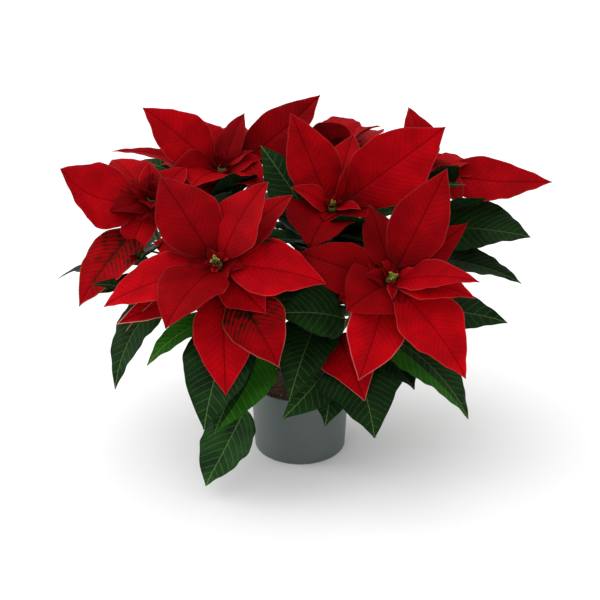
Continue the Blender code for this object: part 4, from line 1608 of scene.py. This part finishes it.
@dataclass
class LowBract:
    """The bract that hangs low in front of the pot's rim, in the place of the solid."""

    placed: list[Placed]
    skin: BladeSkin = BladeSkin()

    def build(self, red: bpy.types.Material) -> None:
        """Makes the bract.

        Args:
            red: its finish.
        """
        surface = Surface()
        for one in self.placed:
            self.skin.add_to(surface, one.blade, one.growth, "low bract")
        surface.build("half_green_bract_low", (red,), "low_bract", "bract")


@dataclass
class Cyathia:
    """The small true flowers on a head: green cups with a nectar gland, stamens and buds.

    The cup's profile and the sizes of its gland, lobes, stamens and anthers are shares of its
    radius, like how far out and how high its gland and lobes stand. cup_heights are those of the
    middle cup, of the others and their spread, and bud_ring and bud_level the place of the buds,
    in millimetres.
    """

    key: str
    head: Head
    cup_radius: float = 2.4 * MM
    cup_count: int = 4
    cup_tilt: float = 9.0
    sides: int = 20
    lobes: int = 5
    stamens: int = 7
    buds: int = 4
    young_size: float = 0.66
    open_size: float = 0.86
    profile: tuple[tuple[float, float], ...] = (
        (0.30, 1.10), (0.62, 1.22), (0.74, 1.30), (0.84, 1.24), (0.86, 1.05), (0.95, 0.6),
        (1.0, 0.1), (0.97, -0.4), (0.82, -0.9), (0.5, -1.25), (0.2, -1.35),
    )
    base: tuple[tuple[float, float], ...] = (
        (0.3 * HUB_RADIUS, 3.2 * MM), (0.68 * HUB_RADIUS, 3.0 * MM),
        (0.7 * HUB_RADIUS, 1.5 * MM), (0.6 * HUB_RADIUS, 0.0),
    )
    gland: tuple[float, ...] = (0.34, 0.62, 0.3)
    lobe: tuple[float, ...] = (0.1, 0.26, 0.2)
    anther: tuple[float, ...] = (0.2, 0.14, 0.14)
    bud: tuple[float, ...] = (1.1 * MM, 1.1 * MM, 1.7 * MM)
    gland_place: tuple[float, float] = (0.92, 0.72)
    lobe_place: tuple[float, float] = (0.62, 1.3)
    lobe_turn: float = 0.6
    stamen_reach: tuple[float, float] = (0.1, 0.5)
    stamen_top: tuple[float, float] = (1.5, 2.1)
    stamen_radius: float = 0.09
    stamen_sides: int = 6
    cup_heights: tuple[float, float, float] = (5.4, 4.0, 1.2)
    cup_stray: float = 0.2
    bud_ring: float = 3.9
    bud_level: float = 3.4
    bud_turn: float = 0.45
    bud_stray: float = 0.3

    def spots(self) -> list[Vector]:
        """Works out the middle of each cup, as in the solid.

        Returns:
            The places, measured from the head's top.
        """
        draw = random.Random(self.key)
        middle, low, more = self.cup_heights
        stray = self.cup_stray
        spots = []
        for k in range(self.cup_count):
            out = 0.0 if k == 0 else CLUSTER_RADIUS - self.cup_radius
            angle = math.tau * k / (self.cup_count - 1) + draw.uniform(-stray, stray)
            height = (middle if k == 0 else low + draw.uniform(0, more)) * MM
            spots.append(Vector((math.cos(angle) * out, math.sin(angle) * out, height)))
        return spots

    def add_cup(self, surface: Surface, move: Matrix, draw: random.Random) -> None:
        """Adds one cup with its lobes, gland and stamens.

        Args:
            surface: the mesh under construction.
            move: from the cup's own place to the plant's.
            draw: the source of its small differences.
        """
        r = self.cup_radius
        forms = (self.gland, self.lobe, self.anther)
        gland, lobe, anther = ([x * r for x in form] for form in forms)
        surface.add(*revolved([(x * r, z * r) for x, z in self.profile], self.sides), move=move)
        pip = ball(2)
        heading = draw.uniform(0, math.tau)
        out, up = self.gland_place
        spot = level(heading) * out * r + Vector((0, 0, up * r))
        surface.add(*pip, mark=1, move=move @ placing(spot, gland, heading))
        out, up = self.lobe_place
        for k in range(self.lobes):
            angle = heading + self.lobe_turn + math.tau * k / self.lobes
            spot = level(angle) * out * r + Vector((0, 0, up * r))
            surface.add(*pip, mark=2, move=move @ placing(spot, lobe, angle))
        for _ in range(self.stamens):
            lean = level(draw.uniform(0, math.tau)) * draw.uniform(*self.stamen_reach) * r
            foot = lean * 0.5 + Vector((0, 0, r))
            end = lean + Vector((0, 0, draw.uniform(*self.stamen_top) * r))
            line = [foot, (foot + end) / 2, end]
            stalk = tube(line, [self.stamen_radius * r] * len(line), self.stamen_sides)
            surface.add(*stalk, mark=2, move=move)
            surface.add(*pip, mark=3, move=move @ placing(end, anther))

    def build(self, finishes: Sequence[bpy.types.Material]) -> None:
        """Makes the cluster as one piece.

        Args:
            finishes: those of the cup wall, the gland, the stamens and the pollen.
        """
        surface = Surface()
        draw = random.Random(f"{self.key} cups")
        turn = self.head.axis().to_track_quat("Z", "Y").to_matrix().to_4x4()
        size = self.young_size if self.key in YOUNG else self.open_size
        place = Matrix.Translation(self.head.tip()) @ turn @ Matrix.Diagonal((size, size, size, 1))
        surface.add(*revolved(self.base, self.sides), move=place)
        for spot in self.spots():
            aside = spot.xy.length > MM
            axis = Vector((-spot.y, spot.x, 0)).normalized() if aside else Vector((1, 0, 0))
            lean = Matrix.Rotation(math.radians(self.cup_tilt if aside else 0), 4, axis)
            self.add_cup(surface, place @ Matrix.Translation(spot) @ lean, draw)
        bud = ball(3)
        for k in range(self.buds):
            stray = draw.uniform(-self.bud_stray, self.bud_stray)
            angle = math.tau * (k + self.bud_turn) / self.buds + stray
            x, y = math.cos(angle) * self.bud_ring, math.sin(angle) * self.bud_ring
            spot = Vector((x, y, self.bud_level + draw.uniform(0, 1))) * MM
            surface.add(*bud, move=place @ placing(spot, self.bud))
        name = f"cyathium_cluster_{self.key}"
        surface.build(name, finishes, f"cyathia_{self.key}", "cyathium")


def pot_radius(height: float) -> float:
    """Returns the pot's outer radius at a height."""
    return POT_BASE_RADIUS + POT_SLOPE * height


@dataclass
class Compost:
    """The potting compost: a mounded body with crumbs, perlite and bark chips on its face.

    shares gives how many of the crumbs are peat, perlite and chips, and crumb_sizes and
    chip_sizes the range of their sizes in millimetres. crumb_forms are the ranges of their
    length and width as shares of the size, chip_width and flatness the rest of their form.
    dip is what the mound loses towards its edge, and farthest how near the edge crumbs lie.
    """

    edge_level: float = 80 * MM
    mound: float = 4 * MM
    mound_top: float = 20 * MM
    sides: int = 120
    rings: int = 26
    crumbs: int = 1300
    shares: tuple[float, ...] = (0.82, 0.06, 0.12)
    unevenness: float = 1.1 * MM
    lump: float = 5 * MM
    centre: float = 0.05 * MM
    dip: float = 0.2
    farthest: float = 0.93
    crumb_sizes: tuple[float, float] = (0.5, 1.6)
    chip_sizes: tuple[float, float] = (0.5, 2.0)
    crumb_forms: tuple[tuple[float, float], ...] = ((0.7, 1.2), (0.6, 1.0))
    chip_width: float = 0.35
    flatness: float = 0.6
    lean: float = 0.6
    roughness: float = 0.28
    rough_step: float = 1.7

    def inside(self, height: float) -> float:
        """Returns the compost's radius at a height, just inside the pot's wall."""
        return pot_radius(height) - POT_WALL - GAP

    def surface_level(self, out: float) -> float:
        """Works out the height of the compost's face.

        Args:
            out: the distance from the middle.

        Returns:
            The height in metres.
        """
        edge = self.inside(self.edge_level)
        if out < self.mound_top:
            return self.edge_level + self.mound * (1 - self.dip * out / self.mound_top)
        down = (out - self.mound_top) / (edge - self.mound_top)
        return self.edge_level + (1 - self.dip) * self.mound * max(0.0, 1 - down)

    def build(
        self, peat: bpy.types.Material, perlite: bpy.types.Material, chips: bpy.types.Material
    ) -> None:
        """Makes the compost as one piece.

        Args:
            peat: the finish of its body and most crumbs.
            perlite: that of the white crumbs.
            chips: that of the bark chips.
        """
        edge = self.inside(self.edge_level)
        hole = TRUNK_RADIUS + GAP
        reach = [hole + (edge - hole) * i / self.rings for i in range(self.rings + 1)]
        profile = [(self.centre, TRUNK_FOOT - GAP), (hole, TRUNK_FOOT - GAP)]
        profile += [(r, self.surface_level(r)) for r in reach]
        base = POT_FLOOR + GAP
        profile += [(self.inside(z), z) for z in (self.edge_level - 20 * MM, base)]
        points, faces = revolved(profile + [(self.centre, base)], self.sides)
        beyond = np.hypot(points[:, 0], points[:, 1]) > hole + MM
        for i in np.nonzero((points[:, 2] > self.edge_level - MM) & beyond)[0]:
            spot = Vector(points[i])
            inward = min(1.0, (edge - spot.xy.length) / (4 * MM))
            points[i, 2] += self.unevenness * noise.noise(spot / self.lump) * inward
        surface = Surface()
        surface.add(points, faces)
        draw = random.Random(11)
        lump, lump_faces = ball(2)
        for _ in range(self.crumbs):
            out = math.sqrt(draw.uniform((hole / edge) ** 2, self.farthest)) * edge
            angle = draw.uniform(0, math.tau)
            kind = draw.choices((0, 1, 2), self.shares)[0]
            round_form = kind < 2
            size = draw.uniform(*(self.crumb_sizes if round_form else self.chip_sizes)) * MM
            long = draw.uniform(*self.crumb_forms[0])
            wide = draw.uniform(*self.crumb_forms[1]) if round_form else self.chip_width
            spot = Vector((math.cos(angle) * out, math.sin(angle) * out, self.surface_level(out)))
            turn = Matrix.Rotation(draw.uniform(0, math.tau), 3, "Z")
            turn = turn @ Matrix.Rotation(draw.uniform(-self.lean, self.lean), 3, "X")
            shape = np.array(turn @ Matrix.Diagonal((long, wide, self.flatness))) * size
            own = [noise.noise(Vector(p) * self.rough_step + spot / MM) for p in lump]
            rough = 1 + self.roughness * np.array(own)
            surface.add((lump * rough[:, None]) @ shape.T + np.array(spot), lump_faces, kind)
        surface.build("potting_compost", (peat, perlite, chips), "soil", "soil")


@dataclass
class Trunk:
    """The short woody trunk with its knuckle, bark ridges and the scars of old leaves.

    shape gives the radius at each depth below the top, and scars are shares of the depth.
    """

    sides: int = 48
    rows: int = 70
    row_crowding: float = 1.4
    ridge: float = 0.22 * MM
    ridge_width: float = 1.6 * MM
    soil_level: float = 86 * MM
    scars: tuple[float, ...] = (0.36, 0.52, 0.68)
    scar_reach: float = 0.012
    scar_depth: float = 1.5
    stretch: float = 0.25
    shape: tuple[tuple[float, float], ...] = (
        (0.3 * MM, GAP), (0.55 * KNUCKLE_RADIUS, GAP + 0.5 * MM), (0.9 * KNUCKLE_RADIUS, 4 * MM),
        (KNUCKLE_RADIUS, 8 * MM), (0.8 * KNUCKLE_RADIUS, 13 * MM), (TRUNK_RADIUS, 18 * MM),
        (TRUNK_RADIUS, TRUNK_TOP - TRUNK_FOOT),
    )

    def wobble(self, spot: Vector) -> float:
        """Works out how far the bark moves outwards, only inwards where the soil is near.

        Args:
            spot: a point of the plain trunk.

        Returns:
            The distance in metres.
        """
        stretched = Vector((spot.x, spot.y, spot.z * self.stretch))
        lift = noise.noise(stretched / self.ridge_width) * self.ridge
        if spot.z < self.soil_level:
            return lift - self.ridge
        depth = (TRUNK_TOP - spot.z) / (TRUNK_TOP - TRUNK_FOOT)
        scar = sum(math.exp(-(((depth - s) / self.scar_reach) ** 2)) for s in self.scars)
        return lift - self.scar_depth * self.ridge * scar

    def build(self, bark: bpy.types.Material) -> None:
        """Makes the trunk.

        Args:
            bark: its finish.
        """
        depths = [d for _, d in self.shape]
        radii = [r for r, _ in self.shape]
        rows = np.linspace(0, 1, self.rows) ** self.row_crowding * (depths[-1] - GAP) + GAP
        profile = [(float(np.interp(d, depths, radii)), TRUNK_TOP - float(d)) for d in rows]
        surface = Surface()
        surface.add(*revolved(profile, self.sides, self.wobble))
        surface.build("woody_trunk", (bark,), "trunk", "bark")


@dataclass
class NurseryPot:
    """The tapered pot: a rounded rim, a thin wall, and drain holes in a flat floor."""

    sides: int = 144
    rim_steps: int = 6
    drain_holes: int = 6
    drain_sides: int = 32
    drain_radius: float = 4 * MM
    drain_ring: float = 36 * MM
    base_round: float = 1.5 * MM
    inner_round: float = 0.2 * MM
    round_share: float = 0.35
    wall_levels: tuple[float, ...] = (0.66 * POT_HEIGHT, 0.33 * POT_HEIGHT, 4 * MM)
    centre: float = 0.02 * MM

    def profile(self) -> list[tuple[float, float]]:
        """Works out the wall's section.

        Returns:
            Radius and height, up its inside, over the rim and down its outside.
        """
        inner = pot_radius(POT_FLOOR) - POT_WALL
        half = POT_WALL / 2
        rows = [(r, POT_FLOOR) for r in (self.centre, 0.5 * inner, inner - MM)]
        rows += [(inner - self.inner_round, POT_FLOOR + self.inner_round), (inner, POT_FLOOR + MM)]
        middle = POT_RIM_RADIUS - half
        for k in range(self.rim_steps + 1):
            angle = math.pi * (1 - k / self.rim_steps)
            height = POT_HEIGHT - half + half * math.sin(angle)
            rows.append((middle + half * math.cos(angle), height))
        rows += [(pot_radius(z), z) for z in (*self.wall_levels, self.base_round)]
        corner = self.round_share * self.base_round
        rows.append((POT_BASE_RADIUS - corner, corner))
        flat = (POT_BASE_RADIUS - self.base_round, 0.5 * POT_BASE_RADIUS, self.centre)
        return rows + [(r, 0.0) for r in flat]

    def build(self, plastic: bpy.types.Material) -> None:
        """Makes the pot and cuts its drain holes.

        Args:
            plastic: its finish.
        """
        surface = Surface()
        surface.add(*revolved(self.profile(), self.sides))
        made = surface.build("nursery_pot", (plastic,), "pot", "pot")
        bm = bmesh.new()
        for k in range(self.drain_holes):
            spot = direction(360 * k / self.drain_holes, 0) * self.drain_ring
            bmesh.ops.create_cone(
                bm, cap_ends=True, segments=self.drain_sides, radius1=self.drain_radius,
                radius2=self.drain_radius, depth=4 * POT_FLOOR, matrix=Matrix.Translation(spot),
            )
        drill = bpy.data.meshes.new("drill")
        bm.to_mesh(drill)
        bm.free()
        cutter = link("drill", drill)
        cut = made.modifiers.new("drains", "BOOLEAN")
        cut.operation = "DIFFERENCE"
        cut.object = cutter
        cut.solver = "EXACT"
        bpy.context.view_layer.update()
        seen = made.evaluated_get(bpy.context.evaluated_depsgraph_get())
        mesh = bpy.data.meshes.new_from_object(seen)
        made.modifiers.clear()
        made.data = mesh
        bpy.data.objects.remove(cutter)


@dataclass(frozen=True)
class Lamp:
    """A broad white lamp far off: where its light comes from, its strength and its size."""

    name: str
    heading: float
    rise: float
    strength: float
    spread: float


@dataclass(frozen=True)
class Studio:
    """The pale studio: floor, soft light and the camera at the photo's viewing angle."""

    floor_size: float = 18.0
    floor: str = "#f6f6f6"
    sky: str = "#ffffff"
    sky_strength: float = 1.0
    lens: float = 63.36
    sensor: float = 36.0
    camera_place: tuple[float, float, float] = (0.0, -1.146, 0.691)
    pitch: float = 23.5
    far: float = 100.0
    lamps: tuple[Lamp, ...] = (
        Lamp("key", -164, 62, 1.0, 80),
        Lamp("side", 178, 18, 1.05, 40),
    )

    def build(self) -> None:
        """Makes the floor, the lamps, the surroundings and the camera."""
        scene = bpy.context.scene
        scene.view_settings.view_transform = "Standard"
        scene.render.film_transparent = False
        bm = bmesh.new()
        bmesh.ops.create_grid(bm, x_segments=1, y_segments=1, size=self.floor_size / 2)
        mesh = bpy.data.meshes.new("studio_floor")
        bm.to_mesh(mesh)
        bm.free()
        n = Nodes("paper_backdrop_matte")
        paper = linear(self.floor)
        matte = n.add("BsdfPrincipled", paper, Roughness=1.0, Specular_IOR_Level=0.0)
        n.add("OutputMaterial", matte)
        mesh.materials.append(n.material)
        link("studio_floor", mesh)

        world = bpy.data.worlds.new("studio")
        world.use_nodes = True
        scene.world = world
        sky = world.node_tree.nodes["Background"]
        sky.inputs["Color"].default_value = linear(self.sky)
        sky.inputs["Strength"].default_value = self.sky_strength
        for lamp in self.lamps:
            light = bpy.data.lights.new(lamp.name, "SUN")
            light.energy = lamp.strength
            light.angle = math.radians(lamp.spread)
            turn = direction(lamp.heading, lamp.rise).to_track_quat("Z", "Y")
            link(lamp.name, light).rotation_euler = turn.to_euler()

        eye = bpy.data.cameras.new("camera")
        eye.lens = self.lens
        eye.sensor_width = self.sensor
        eye.sensor_fit = "HORIZONTAL"
        eye.clip_end = self.far
        camera = link("camera", eye)
        camera.location = self.camera_place
        camera.rotation_euler = (math.radians(90 - self.pitch), 0, 0)
        scene.camera = camera


def main() -> None:
    """Builds the looks of the whole plant in order."""
    logging.basicConfig(level=logging.INFO, format="%(name)s: %(message)s")
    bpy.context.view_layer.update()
    Studio().build()
    NurseryPot().build(POT_PLASTIC.build())
    Compost().build(PEAT.build(), PERLITE.build(), CHIPS.build())
    Trunk().build(CORK.build())
    red = BRACT_EPIDERMIS.build()
    green = LEAF_CUTICLE.build()
    bright = BACKLIT_CUTICLE.build()
    rind = RIND.build()
    cup_finishes = [finish.build() for finish in (CUP_WALL, NECTAR, STAMEN, POLLEN)]
    placed = Settling().run()
    LowBract(placed["low_bract"]).build(red)
    for key, head in HEADS.items():
        LeafyStem(key, head, placed[f"stem_{key}"]).build(green, bright, rind)
        BractWhorl(key, head, placed[f"bracts_{key}"]).build(red, rind)
        Cyathia(key, head).build(cup_finishes)


if __name__ == "__main__":
    main()
